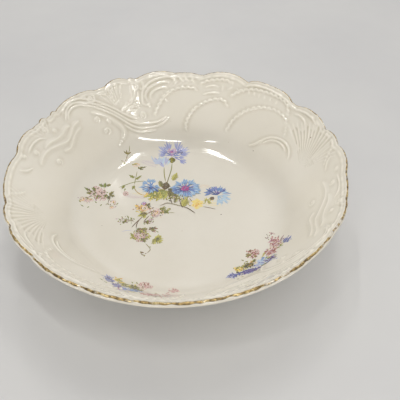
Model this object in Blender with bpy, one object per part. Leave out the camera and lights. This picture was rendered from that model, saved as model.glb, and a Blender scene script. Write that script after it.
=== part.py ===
"""Porcelain serving bowl: a lobed, flaring body on a foot ring, a gilt line round its rim, and three flower transfers.

Metres, +Z up. The origin is the middle of the bowl's footprint, on the surface that it stands on.
Run it with: blender --background --python part.py
"""

import math

import bmesh
import bpy
import numpy as np

# Driving dimensions, in metres and degrees.
MM = 0.001
FLOOR_HEIGHT = 9.0 * MM  # top of the floor at the middle
FLOOR_DISH = 1.2 * MM  # how far the floor has risen where the bend starts
BEND_START = 66.0 * MM  # radius at which the floor starts to bend up into the wall
BEND_RADIUS = 28.0 * MM
FLOOR_SLOPE = 3.0
WALL_SLOPE = 50.1
WALL_TOP_RADIUS = 118.8 * MM  # inner edge of the lip
BASE_THICKNESS = 4.6 * MM
WALL_THICKNESS = 3.4 * MM
LIP_THICKNESS = 2.6 * MM
UNDERSIDE_HEIGHT = 5.0 * MM
UNDERSIDE_RADIUS = 62.5 * MM
LOBE_START = 98.0 * MM  # radius at which the wall starts to follow the lobes of the rim
LOBE_FLARE = 0.55  # outward share of a lobe's rise
GAP = 0.3 * MM  # between pieces that touch on the real bowl
FILM_THICKNESS = 0.3 * MM
FILM_GAP = 0.35 * MM
GILT_ARC = (-12.0, 118.0)  # stretch of the lip that the gilding covers, from its inner edge over the top
FOOT_SECTION = ((57.3, 4.7), (57.2, 1.2), (58.2, 0.0), (61.2, 0.0), (62.2, 1.2), (63.6, 4.7))

# Mesh density. The gilding has the same turns as the body, so that their faces stay parallel.
BOWL_TURNS = 120
FOOT_TURNS = 72
FLOOR_STEPS = 3
BEND_STEPS = 7
WALL_STEPS = 6
LIP_STEPS = 5
GILT_STEPS = 5
FILM_TURNS = 48
FILM_RINGS = 5

# Lobes of the rim: direction, half width, height of the peak in mm over the mean rim, squareness.
RIM_LOW = -1.9
RIM_LOBES = (
    (-0.5, 8.0, 1.3, 2.0),
    (10.0, 6.0, 1.0, 2.0),
    (23.5, 9.0, 1.4, 2.2),
    (47.0, 11.2, 2.1, 4.0),
    (67.0, 10.2, 2.4, 2.0),
    (86.0, 6.5, -0.7, 4.0),
    (97.0, 9.0, 1.2, 2.0),
    (115.0, 5.5, 1.2, 2.0),
    (134.5, 10.0, 0.9, 2.5),
    (153.5, 5.5, -0.2, 3.0),
    (163.5, 7.5, 1.2, 2.2),
    (184.0, 11.0, -0.2, 3.0),
    (202.0, 6.0, 0.9, 2.0),
    (213.5, 8.0, 2.2, 2.2),
    (232.0, 12.0, 2.8, 2.5),
    (248.5, 9.0, 2.2, 2.0),
    (270.0, 10.0, 0.2, 2.2),
    (286.0, 8.5, 0.2, 2.5),
    (301.5, 8.0, 0.2, 2.5),
    (318.0, 7.5, -0.5, 3.0),
    (330.5, 8.0, 0.5, 2.5),
)

# Outlines of the three transfers in plan, in mm, as a hub and the points of a smooth closed line round it.
CENTRE_HUB = (-20.0, 20.0)
CENTRE_OUTLINE = (
    (42.0, 14.0), (32.0, 32.0), (14.0, 52.0), (4.0, 76.0), (-13.0, 77.0), (-34.0, 66.0),
    (-50.0, 58.0), (-72.0, 36.0), (-82.0, 16.0), (-66.0, 2.0), (-50.0, -10.0), (-38.0, -30.0),
    (-30.0, -46.0), (-14.0, -34.0), (-8.0, -10.0), (16.0, -6.0), (36.0, -2.0),
)
LEFT_HUB = (-30.0, -83.0)
LEFT_OUTLINE = (
    (-4.0, -78.0), (-10.0, -97.0), (-28.0, -98.0), (-42.0, -90.0), (-54.0, -76.0), (-53.0, -64.0),
    (-42.0, -65.0), (-25.0, -68.0),
)
RIGHT_HUB = (58.0, -56.0)
RIGHT_OUTLINE = (
    (70.0, -28.0), (78.0, -38.0), (76.0, -54.0), (62.0, -68.0), (45.0, -73.0), (31.0, -68.0),
    (34.0, -60.0), (46.0, -46.0), (58.0, -42.0),
)


def clear_scene():
    for obj in list(bpy.data.objects):
        bpy.data.objects.remove(obj)


def glossy_material(name, colour, roughness, metallic=0.0):
    material = bpy.data.materials.new(name)
    material.use_nodes = True
    shader = material.node_tree.nodes["Principled BSDF"]
    shader.inputs["Base Color"].default_value = (*colour, 1.0)
    shader.inputs["Roughness"].default_value = roughness
    shader.inputs["Metallic"].default_value = metallic
    return material


def add_node(name, bm, material):
    """Makes a finished bmesh into one smooth-shaded object with its own material."""
    bmesh.ops.recalc_face_normals(bm, faces=bm.faces)
    mesh = bpy.data.meshes.new(name)
    bm.to_mesh(mesh)
    bm.free()
    mesh.shade_smooth()
    mesh.set_sharp_from_angle(angle=math.radians(40.0))
    mesh.materials.append(material)
    obj = bpy.data.objects.new(name, mesh)
    bpy.context.scene.collection.objects.link(obj)
    return obj


def inside_line():
    """Inside of the bowl from its middle to the lip, as (radius, height): a dished floor, an arc and a straight wall."""
    line = []
    for step in range(FLOOR_STEPS):
        share = step / FLOOR_STEPS
        line.append((BEND_START * share, FLOOR_HEIGHT + FLOOR_DISH * share**3))
    start = math.radians(FLOOR_SLOPE)
    for step in range(BEND_STEPS + 1):
        slope = start + (math.radians(WALL_SLOPE) - start) * step / BEND_STEPS
        radius = BEND_START + BEND_RADIUS * (math.sin(slope) - math.sin(start))
        height = FLOOR_HEIGHT + FLOOR_DISH + BEND_RADIUS * (math.cos(start) - math.cos(slope))
        line.append((radius, height))
    wall_start_radius, wall_start_height = line[-1]
    wall_run = WALL_TOP_RADIUS - wall_start_radius
    for step in range(1, WALL_STEPS + 1):
        run = wall_run * step / WALL_STEPS
        line.append((wall_start_radius + run, wall_start_height + run * math.tan(math.radians(WALL_SLOPE))))
    return line


def across_and_along():
    """Unit vectors in the (radius, height) plane: out through the wall at the lip, and up along it."""
    slope = math.radians(WALL_SLOPE)
    across = np.array((math.sin(slope), -math.cos(slope)))
    along = np.array((math.cos(slope), math.sin(slope)))
    return across, along


def lip_line(first, last, steps, offset=0.0):
    """Stretch of the lip's half round. Angle 0 is its inner edge, 90 its top and 180 its outer edge."""
    across, along = across_and_along()
    half = LIP_THICKNESS / 2
    centre = np.array(inside_line()[-1]) + across * half
    line = []
    for step in range(steps + 1):
        angle = math.radians(first + (last - first) * step / steps)
        reach = half + offset
        line.append(tuple(centre + reach * (along * math.sin(angle) - across * math.cos(angle))))
    return line


def outside_line():
    """Outside of the body, from just under the lip to the middle of the underside."""
    across, _ = across_and_along()
    inside = inside_line()
    line = []
    for step in range(1, WALL_STEPS):
        share = min(1.0, 2 * step / WALL_STEPS)
        thickness = LIP_THICKNESS + (WALL_THICKNESS - LIP_THICKNESS) * share
        line.append(tuple(np.array(inside[-1 - step]) + across * thickness))
    for step in range(BEND_STEPS + 1):
        share = step / BEND_STEPS
        slope = math.radians(WALL_SLOPE + (FLOOR_SLOPE - WALL_SLOPE) * share)
        outward = np.array((math.sin(slope), -math.cos(slope)))
        thickness = WALL_THICKNESS + (BASE_THICKNESS - WALL_THICKNESS) * share
        line.append(tuple(np.array(inside[-1 - WALL_STEPS - step]) + outward * thickness))
    line.append((UNDERSIDE_RADIUS, UNDERSIDE_HEIGHT))
    line.append((UNDERSIDE_RADIUS / 2, UNDERSIDE_HEIGHT))
    line.append((0.0, UNDERSIDE_HEIGHT))
    return line


def turned(line, turns, ring):
    """A line of (radius, height) points spun round the Z axis. A ring's line is closed, and any other ends on the axis."""
    bm = bmesh.new()
    verts = [bm.verts.new((radius, 0.0, height)) for radius, height in line]
    edges = [bm.edges.new(pair) for pair in zip(verts, verts[1:])]
    if ring:
        edges.append(bm.edges.new((verts[-1], verts[0])))
    bmesh.ops.spin(
        bm, geom=verts + edges, cent=(0, 0, 0), axis=(0, 0, 1), angle=math.tau, steps=turns, use_merge=True
    )
    bmesh.ops.remove_doubles(bm, verts=bm.verts, dist=0.001 * MM)
    return bm


def rim_rise(direction):
    """Height of the rim over its mean in a direction given in degrees, in metres. Lobes meet in sharp cusps."""
    rise = RIM_LOW
    for centre, half_width, peak, squareness in RIM_LOBES:
        away = abs((direction - centre + 180.0) % 360.0 - 180.0) / half_width
        if away < 1.0:
            rise = max(rise, peak - (peak - RIM_LOW) * away**squareness)
    return rise * MM


def follow_lobes(bm):
    """Lifts and flares the upper wall so that its edge follows the lobes."""
    for vert in bm.verts:
        radius = math.hypot(vert.co.x, vert.co.y)
        if radius <= LOBE_START:
            continue
        share = min(1.0, (radius - LOBE_START) / (WALL_TOP_RADIUS - LIP_THICKNESS - LOBE_START))
        rise = rim_rise(math.degrees(math.atan2(vert.co.y, vert.co.x))) * share**2
        wider = (radius + rise * LOBE_FLARE) / radius
        vert.co.x *= wider
        vert.co.y *= wider
        vert.co.z += rise


def smooth_closed_line(points, count):
    """Catmull-Rom curve through a closed list of plan points, as count points in metres."""
    points = np.array(points) * MM
    line = []
    for index in range(count):
        place = index / count * len(points)
        here = int(place)
        t = place - here
        before, start, end, after = (points[(here + shift) % len(points)] for shift in (-1, 0, 1, 2))
        cubic = (3 * (start - end) + after - before) * t**3
        square = (2 * before - 5 * start + 4 * end - after) * t**2
        line.append(start + 0.5 * ((end - before) * t + square + cubic))
    return line


def film_vert(bm, plan, line, lift):
    """A vert that stands over the inside of the bowl by lift, measured square to the surface."""
    radii = [point[0] for point in line]
    heights = [point[1] for point in line]
    radius = math.hypot(plan[0], plan[1])
    height = np.interp(radius, radii, heights)
    slope = math.atan((np.interp(radius + MM, radii, heights) - np.interp(radius - MM, radii, heights)) / (2 * MM))
    return bm.verts.new((plan[0], plan[1], height + lift / math.cos(slope)))


def film_side(bm, hub, outline, line, lift):
    """One side of a film: a middle vert, rings of verts round it, and the faces between them."""
    middle = film_vert(bm, hub, line, lift)
    rings = []
    for ring in range(1, FILM_RINGS + 1):
        share = ring / FILM_RINGS
        rings.append([film_vert(bm, hub + (point - hub) * share, line, lift) for point in outline])
    for index in range(FILM_TURNS):
        after = (index + 1) % FILM_TURNS
        bm.faces.new((middle, rings[0][index], rings[0][after]))
        for inner, outer in zip(rings, rings[1:]):
            bm.faces.new((inner[index], outer[index], outer[after], inner[after]))
    return rings[-1]


def add_transfer(name, hub, outline_points, colour):
    """A thin film that lies on the inside of the bowl, within a closed outline."""
    hub = np.array(hub) * MM
    outline = smooth_closed_line(outline_points, FILM_TURNS)
    line = inside_line()
    bm = bmesh.new()
    under = film_side(bm, hub, outline, line, FILM_GAP)
    over = film_side(bm, hub, outline, line, FILM_GAP + FILM_THICKNESS)
    for index in range(FILM_TURNS):
        after = (index + 1) % FILM_TURNS
        bm.faces.new((under[index], under[after], over[after], over[index]))
    return add_node(name, bm, glossy_material(name, colour, roughness=0.25))


def add_bowl_body():
    section = inside_line() + lip_line(0.0, 180.0, LIP_STEPS)[1:] + outside_line()
    bm = turned(section, BOWL_TURNS, ring=False)
    follow_lobes(bm)
    return add_node("bowl_body", bm, glossy_material("porcelain", (0.78, 0.75, 0.68), roughness=0.12))


def add_gilt_rim():
    under = lip_line(*GILT_ARC, GILT_STEPS, offset=GAP)
    over = lip_line(*GILT_ARC, GILT_STEPS, offset=GAP + FILM_THICKNESS)
    bm = turned(under + over[::-1], BOWL_TURNS, ring=True)
    follow_lobes(bm)
    return add_node("gilt_rim", bm, glossy_material("gilding", (0.55, 0.38, 0.16), roughness=0.3, metallic=1.0))


def add_foot_ring():
    section = [(radius * MM, height * MM) for radius, height in FOOT_SECTION]
    bm = turned(section, FOOT_TURNS, ring=True)
    return add_node("foot_ring", bm, glossy_material("foot_porcelain", (0.74, 0.71, 0.64), roughness=0.35))


def main():
    clear_scene()
    add_bowl_body()
    add_foot_ring()
    add_gilt_rim()
    add_transfer("centre_spray_transfer", CENTRE_HUB, CENTRE_OUTLINE, (0.30, 0.36, 0.62))
    add_transfer("left_spray_transfer", LEFT_HUB, LEFT_OUTLINE, (0.36, 0.33, 0.60))
    add_transfer("right_spray_transfer", RIGHT_HUB, RIGHT_OUTLINE, (0.60, 0.36, 0.42))


main()
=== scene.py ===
"""Looks of the porcelain serving bowl: relief, glaze, gilding, printed flower sprays, light and camera."""

import math
import random

import bpy
import numpy as np
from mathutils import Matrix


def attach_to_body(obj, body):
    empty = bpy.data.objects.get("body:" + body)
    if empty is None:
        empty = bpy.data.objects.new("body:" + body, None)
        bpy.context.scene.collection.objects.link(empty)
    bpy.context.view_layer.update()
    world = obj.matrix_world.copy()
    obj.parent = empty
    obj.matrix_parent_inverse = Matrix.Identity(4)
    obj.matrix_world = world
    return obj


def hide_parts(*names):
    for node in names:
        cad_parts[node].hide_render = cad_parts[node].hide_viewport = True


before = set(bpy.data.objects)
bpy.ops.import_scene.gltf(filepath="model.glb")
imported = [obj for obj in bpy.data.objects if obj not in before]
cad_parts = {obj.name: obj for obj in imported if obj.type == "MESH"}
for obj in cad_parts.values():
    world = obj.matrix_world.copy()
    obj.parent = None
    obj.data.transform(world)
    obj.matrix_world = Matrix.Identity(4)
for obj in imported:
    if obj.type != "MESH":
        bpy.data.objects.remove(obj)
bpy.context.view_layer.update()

MM = 0.001


# ------------------------------------------------------- shape of the bowl, in millimetres and degrees

FLOOR_HEIGHT = 9.0  # top of the floor at the middle
FLOOR_DISH = 1.2
BEND_START = 66.0
BEND_RADIUS = 28.0
FLOOR_SLOPE = math.radians(3.0)
WALL_SLOPE = math.radians(50.1)
WALL_TOP_RADIUS = 118.8
LIP_THICKNESS = 2.6
WALL_THICKNESS = 3.4
BASE_THICKNESS = 4.6
UNDERSIDE_HEIGHT = 5.0
UNDERSIDE_RADIUS = 62.5
LOBE_START = 98.0
LOBE_FLARE = 0.55
RIM_LOW = -1.9
FRONT = 274.0  # direction of the front of the rim
FRONT_HALF_WIDTH = 66.0  # how far to each side the front reaches
FRONT_PULL = 2.4  # how far the front of the rim stands in
FRONT_LIP = 0.9  # how much thicker the lip is there

BEND_TOP_RADIUS = BEND_START + BEND_RADIUS * (math.sin(WALL_SLOPE) - math.sin(FLOOR_SLOPE))
BEND_TOP_HEIGHT = FLOOR_HEIGHT + FLOOR_DISH + BEND_RADIUS * (math.cos(FLOOR_SLOPE) - math.cos(WALL_SLOPE))
WALL_TOP_HEIGHT = BEND_TOP_HEIGHT + (WALL_TOP_RADIUS - BEND_TOP_RADIUS) * math.tan(WALL_SLOPE)

# Depths are measured down the inside of the wall from the crest of the mean rim.
LIP_DEPTH = 1.6  # where the lip's round starts
BEND_DEPTH = LIP_DEPTH + (WALL_TOP_RADIUS - BEND_TOP_RADIUS) / math.cos(WALL_SLOPE)
FLOOR_DEPTH = BEND_DEPTH + BEND_RADIUS * (WALL_SLOPE - FLOOR_SLOPE)

# Lobes of the rim: direction, half width, height of the peak over the mean rim, squareness.
RIM_LOBES = (
    (-0.5, 8.0, 1.3, 2.0),
    (10.0, 6.0, 1.0, 2.0),
    (23.5, 9.0, 1.4, 2.2),
    (47.0, 11.2, 2.1, 4.0),
    (67.0, 10.2, 2.4, 2.0),
    (86.0, 6.5, -0.7, 4.0),
    (97.0, 9.0, 1.2, 2.0),
    (109.0, 1.6, -0.6, 2.0),
    (115.0, 5.5, 1.2, 2.0),
    (134.5, 10.0, 0.9, 2.5),
    (146.0, 1.4, -0.6, 2.0),
    (152.0, 2.2, 0.2, 2.0),
    (156.0, 3.5, -0.6, 3.0),
    (163.5, 7.5, 1.2, 2.2),
    (184.0, 11.0, -0.2, 3.0),
    (202.0, 6.0, 0.9, 2.0),
    (213.5, 8.0, 2.2, 2.2),
    (232.0, 12.0, 2.8, 2.5),
    (248.5, 9.0, 2.2, 2.0),
    (270.0, 10.0, 0.2, 2.2),
    (286.0, 8.5, 0.2, 2.5),
    (301.5, 8.0, 0.2, 2.5),
    (318.0, 7.5, -0.5, 3.0),
    (330.5, 8.0, 0.5, 2.5),
)


def turn_between(direction, centre):
    """Turn in degrees from a centre to a direction, between -180 and 180."""
    return (direction - centre + 180.0) % 360.0 - 180.0


def rim_rise(direction):
    """Height of the rim over its mean, for an array of directions in degrees."""
    rise = np.full(np.shape(direction), RIM_LOW)
    for centre, half_width, peak, squareness in RIM_LOBES:
        away = np.abs(turn_between(direction, centre)) / half_width
        rise = np.maximum(rise, peak - (peak - RIM_LOW) * np.minimum(away, 1.0) ** squareness)
    return rise


def lobe_share(radius):
    """How much of a lobe's rise the wall follows at a radius."""
    return np.clip((radius - LOBE_START) / (WALL_TOP_RADIUS - LIP_THICKNESS - LOBE_START), 0.0, 1.0) ** 2


def front_pull(direction, radius, inner):
    """How far the front of the rim stands in: most on the inner side of its thicker lip, where inner is 1."""
    away = np.minimum(np.abs(turn_between(direction, FRONT)) / FRONT_HALF_WIDTH, 1.0)
    return (1.0 - away**2) * lobe_share(radius) * (FRONT_PULL + inner * FRONT_LIP)


def inside_profile(depth):
    """Radius, height and slope of the inside at depths below the crest, before the lobes and the relief."""
    depth = np.asarray(depth, float)
    up = BEND_DEPTH - depth
    wall = (BEND_TOP_RADIUS + up * math.cos(WALL_SLOPE), BEND_TOP_HEIGHT + up * math.sin(WALL_SLOPE))
    slope = np.clip(WALL_SLOPE - (depth - BEND_DEPTH) / BEND_RADIUS, FLOOR_SLOPE, WALL_SLOPE)
    bend = (
        BEND_START + BEND_RADIUS * (np.sin(slope) - math.sin(FLOOR_SLOPE)),
        FLOOR_HEIGHT + FLOOR_DISH + BEND_RADIUS * (math.cos(FLOOR_SLOPE) - np.cos(slope)),
    )
    floor_radius = np.clip(BEND_START - (depth - FLOOR_DEPTH), 0.0, None)
    floor = (floor_radius, FLOOR_HEIGHT + FLOOR_DISH * (floor_radius / BEND_START) ** 3)
    floor_slope = np.arctan(3 * FLOOR_DISH * floor_radius**2 / BEND_START**3)
    on_wall, on_floor = depth <= BEND_DEPTH, depth >= FLOOR_DEPTH
    radius = np.where(on_wall, wall[0], np.where(on_floor, floor[0], bend[0]))
    height = np.where(on_wall, wall[1], np.where(on_floor, floor[1], bend[1]))
    return radius, height, np.where(on_floor, floor_slope, slope)


def depth_of_radius(radius):
    """Depth at which the inside has a radius."""
    depths = np.linspace(-12.0, FLOOR_DEPTH + BEND_START, 2400)
    radii = inside_profile(depths)[0]
    return np.interp(-np.asarray(radius, float), -radii, depths)


def smooth_line(points, steps):
    """Catmull-Rom curve through a list of points, as an array."""
    points = np.array(points, float)
    padded = np.vstack((2 * points[0] - points[1], points, 2 * points[-1] - points[-2]))
    line = []
    for before, start, end, after in zip(padded, padded[1:], padded[2:], padded[3:]):
        for t in np.arange(steps) / steps:
            cubic = (3 * (start - end) + after - before) * t**3
            square = (2 * before - 5 * start + 4 * end - after) * t**2
            line.append(start + 0.5 * ((end - before) * t + square + cubic))
    line.append(points[-1])
    return np.array(line)


# ---------------------------------------------------------------- relief

# Directions in degrees and depths in mm. The motif repeats, worn softer, on the other half of the bowl.
MOTIF_REPEAT = 185.0
REPEAT_STRENGTH = 0.75

SCROLL_STRANDS = (  # the long S-scroll: strands that start in a hook near the rim and end side by side
    ((143.4, 13.0), (140.6, 6.6), (137.5, 4.7), (134.7, 5.5), (131.9, 8.2), (128.7, 11.8), (125.0, 17.6),
     (121.9, 23.3), (118.7, 29.7), (115.0, 36.4), (111.2, 40.7), (106.2, 42.6), (101.2, 43.0), (98.1, 41.8),
     (95.0, 39.2)),
    ((142.2, 14.0), (140.6, 9.4), (137.4, 7.4), (134.0, 8.6), (130.6, 12.4), (127.0, 17.6), (123.0, 24.6),
     (119.4, 32.0), (115.4, 40.0), (111.8, 44.4), (106.6, 46.6), (100.6, 46.4), (96.6, 43.4), (93.9, 40.0)),
    ((143.0, 7.6), (140.4, 3.6), (137.0, 2.2), (133.4, 3.4), (130.6, 6.0), (127.0, 10.6), (123.6, 16.4),
     (120.2, 22.6), (117.0, 28.6), (113.6, 33.6), (110.6, 36.6)),
    ((118.6, 38.4), (115.4, 44.6), (111.2, 48.6), (106.4, 49.8), (102.0, 49.2)),
)
WAVES = (
    ((169.0, 22.4), (166.8, 21.1), (163.7, 20.2), (160.5, 20.6), (157.4, 22.3), (153.2, 25.0), (150.0, 26.4),
     (147.9, 25.8), (145.3, 23.5), (143.2, 21.1), (141.0, 19.6), (138.4, 19.0)),
    ((154.5, 30.6), (151.0, 32.3), (148.4, 30.5), (145.8, 27.8), (142.6, 25.4), (139.6, 24.2)),
    ((161.0, 18.0), (157.0, 17.6), (153.0, 19.6), (149.4, 19.6), (146.0, 17.6), (143.6, 18.0)),
    ((131.0, 18.0), (127.6, 22.0), (124.6, 27.6), (121.9, 34.5), (120.0, 40.7), (120.1, 45.7), (122.5, 50.7)),
)
CURLS = (  # centre of each small curl, its radius, and how far round it goes
    (130.4, 25.6, 2.6, 300.0),
    (128.6, 37.8, 3.2, 320.0),
    (125.6, 31.0, 2.0, 240.0),
    (165.8, 14.6, 2.6, 260.0),
    (171.0, 8.6, 2.0, 240.0),
    (151.2, 13.6, 1.8, 300.0),
    (154.6, 8.6, 3.0, 280.0),
    (161.0, 33.0, 2.8, 300.0),
    (103.6, 27.2, 1.7, 300.0),
    (107.6, 35.2, 3.0, 330.0),
    (128.8, 7.4, 2.4, 280.0),
)
C_SCROLLS = (
    ((104.4, 27.6), (105.9, 24.6), (105.5, 19.0), (104.7, 14.5), (102.8, 10.0), (100.0, 7.0), (96.2, 5.1),
     (92.5, 4.6), (90.3, 6.2), (89.3, 9.0), (90.4, 11.0)),
    ((103.6, 24.0), (104.0, 19.5), (103.0, 15.4), (101.4, 12.2), (98.7, 10.2), (95.6, 9.0), (92.6, 9.4)),
    ((101.8, 22.6), (101.6, 18.6), (99.6, 15.4), (96.6, 13.6), (93.6, 13.8)),
    ((44.4, 51.7), (41.7, 48.4), (39.4, 43.4), (37.2, 39.0), (34.4, 35.4), (31.0, 33.0), (28.0, 32.0),
     (24.8, 32.3), (22.2, 34.0), (20.1, 37.0), (18.8, 39.9)),
    ((37.4, 43.6), (35.2, 39.4), (32.6, 36.6), (29.4, 35.2), (26.0, 35.4), (23.2, 37.4)),
)
SHELL_EDGES = (  # scalloped edges of overlapping shells, which sink behind each edge
    ((101.2, 38.0), (100.6, 34.5), (99.2, 30.6), (97.2, 25.7), (94.9, 21.0), (91.4, 16.8), (87.4, 14.8),
     (84.0, 14.3), (80.8, 14.8), (79.6, 17.4)),
    ((84.2, 53.0), (84.4, 47.0), (82.9, 39.6), (79.8, 32.4), (76.6, 28.0), (72.6, 24.0), (68.4, 21.6),
     (65.6, 22.8), (63.4, 27.6)),
    ((60.6, 48.0), (60.0, 43.0), (58.4, 35.8), (55.8, 29.0), (52.8, 23.8), (49.6, 19.9), (46.0, 17.2),
     (41.4, 15.2), (37.6, 15.2), (34.6, 16.4), (31.7, 19.4)),
    ((63.4, 18.4), (61.6, 14.2), (59.4, 10.6), (56.4, 7.8), (52.0, 5.6), (47.3, 4.6), (41.6, 4.6),
     (38.0, 5.6), (36.0, 8.2), (33.8, 13.5)),
    ((78.4, 11.4), (76.8, 9.2), (74.0, 6.8), (70.0, 5.0), (66.6, 4.7), (63.4, 6.4)),
)
BEAD_LINES = (
    ((119.8, 43.0), (120.6, 46.6), (122.8, 50.6), (126.2, 54.0)),
    ((8.4, 3.0), (6.4, 5.0), (5.0, 9.0), (3.6, 13.0), (1.0, 18.0)),
    ((31.4, 20.8), (30.2, 25.0), (28.8, 29.0)),
    ((113.6, 20.4), (112.0, 22.6), (109.0, 24.4), (106.8, 26.2)),
)
RIBS = (
    ((57.4, 4.4), (53.8, 2.8), (49.4, 2.0), (44.0, 2.4), (39.4, 3.2), (35.0, 4.6), (31.4, 6.0)),
    ((55.8, 8.4), (55.2, 12.0)),
    ((53.2, 8.0), (52.8, 11.6)),
    ((50.6, 8.2), (50.2, 11.2)),
    ((48.0, 8.0), (47.6, 10.6)),
    ((45.0, 8.0), (44.8, 10.4)),
    ((41.6, 8.0), (41.6, 10.6)),
    ((75.8, 13.0), (72.6, 11.0), (69.6, 11.2)),
    ((31.6, 9.0), (28.4, 8.0), (25.2, 9.0), (23.6, 11.6)),
    ((30.0, 4.6), (26.4, 3.4), (22.4, 3.6), (19.4, 5.0)),
    ((173.0, 18.0), (176.4, 14.0), (178.0, 9.0)),
    ((168.0, 9.6), (163.4, 8.6), (159.4, 10.0), (157.0, 13.6)),
    ((76.4, 19.6), (74.0, 18.0), (71.6, 16.9), (68.8, 16.2)),
    ((117.4, 27.2), (114.2, 24.2), (111.4, 22.2), (109.4, 18.0), (108.2, 13.6), (106.6, 10.4), (106.8, 6.6)),
    ((106.2, 11.4), (104.8, 12.4), (104.0, 9.4), (104.4, 5.6)),
    ((95.0, 24.0), (93.4, 26.6)),
    ((115.4, 30.4), (112.8, 28.2), (110.0, 29.0)),
    ((112.6, 26.6), (110.2, 26.0), (108.4, 28.4)),
    ((130.6, 4.0), (129.6, 9.2), (127.4, 10.6), (126.2, 6.0)),
    ((123.4, 6.4), (121.6, 9.2), (120.2, 6.0)),
    ((119.6, 4.4), (118.6, 7.4), (117.2, 4.8)),
    ((90.0, 3.6), (89.0, 7.4)),
    ((88.0, 4.4), (86.0, 9.4)),
    ((85.6, 4.0), (83.6, 8.8)),
    ((82.6, 4.6), (81.0, 10.0)),
    ((79.4, 4.4), (77.0, 5.8)),
    ((67.9, 9.6), (67.9, 14.4)),
    ((65.4, 12.8), (63.6, 9.6)),
    ((61.4, 9.4), (60.0, 11.4)),
)
# Hub, end of the first and of the last flute, number of flutes, height. The flutes spread from the hub.
FANS = (
    ((117.4, 28.0), (124.0, 8.0), (113.0, 3.0), 5, 1.5),
    ((8.5, 38.0), (31.0, 19.0), (17.0, 4.0), 8, 1.0),
    ((8.5, 38.0), (17.0, 4.0), (1.4, 6.0), 8, 1.0),
    ((155.0, 18.0), (161.0, 3.0), (149.4, 4.0), 6, 0.8),
    ((100.6, 30.0), (90.0, 4.0), (77.0, 6.0), 5, 0.5),
)

# Heights and half widths of the ridges, in mm. The beaded ones add how deep the beads are and their pitch.
STRAND_RIDGE = (0.85, 1.2)
WAVE_SWELL = (0.45, 3.2)
WAVE_CREST = (0.8, 1.1)
C_RIDGE = (1.0, 1.15)
BEADED_RIDGE = (1.0, 1.2, 0.75, 3.0)
RIB_RIDGE = (0.95, 0.95)
CURL_RIDGE = (0.85, 0.95)
BOSS_HEIGHT, BOSS_RADIUS = 0.9, 1.2  # the boss that a curl winds into
SHELL_HEIGHT, SHELL_DEPTH = 1.15, 1.2
SHELL_REACH = 18.0  # how far from its edge a shell's hollow is worked out
CROSSING_SWELL = 0.25  # share of the lower relief that is added where two cross
MIDDLE_RADIUS = 85.0  # turns a reach in mm into degrees, with some to spare on the wall
BAND_DEPTH, BAND_HALF_WIDTH, BAND_HEIGHT = 2.4, 1.3, 0.4  # the rolled band under the lip
NICK_SHARE = 0.35
LIP_FADE, FLOOR_FADE = 1.4, 12.0  # how far the relief takes to run out at the lip and at the floor


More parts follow.
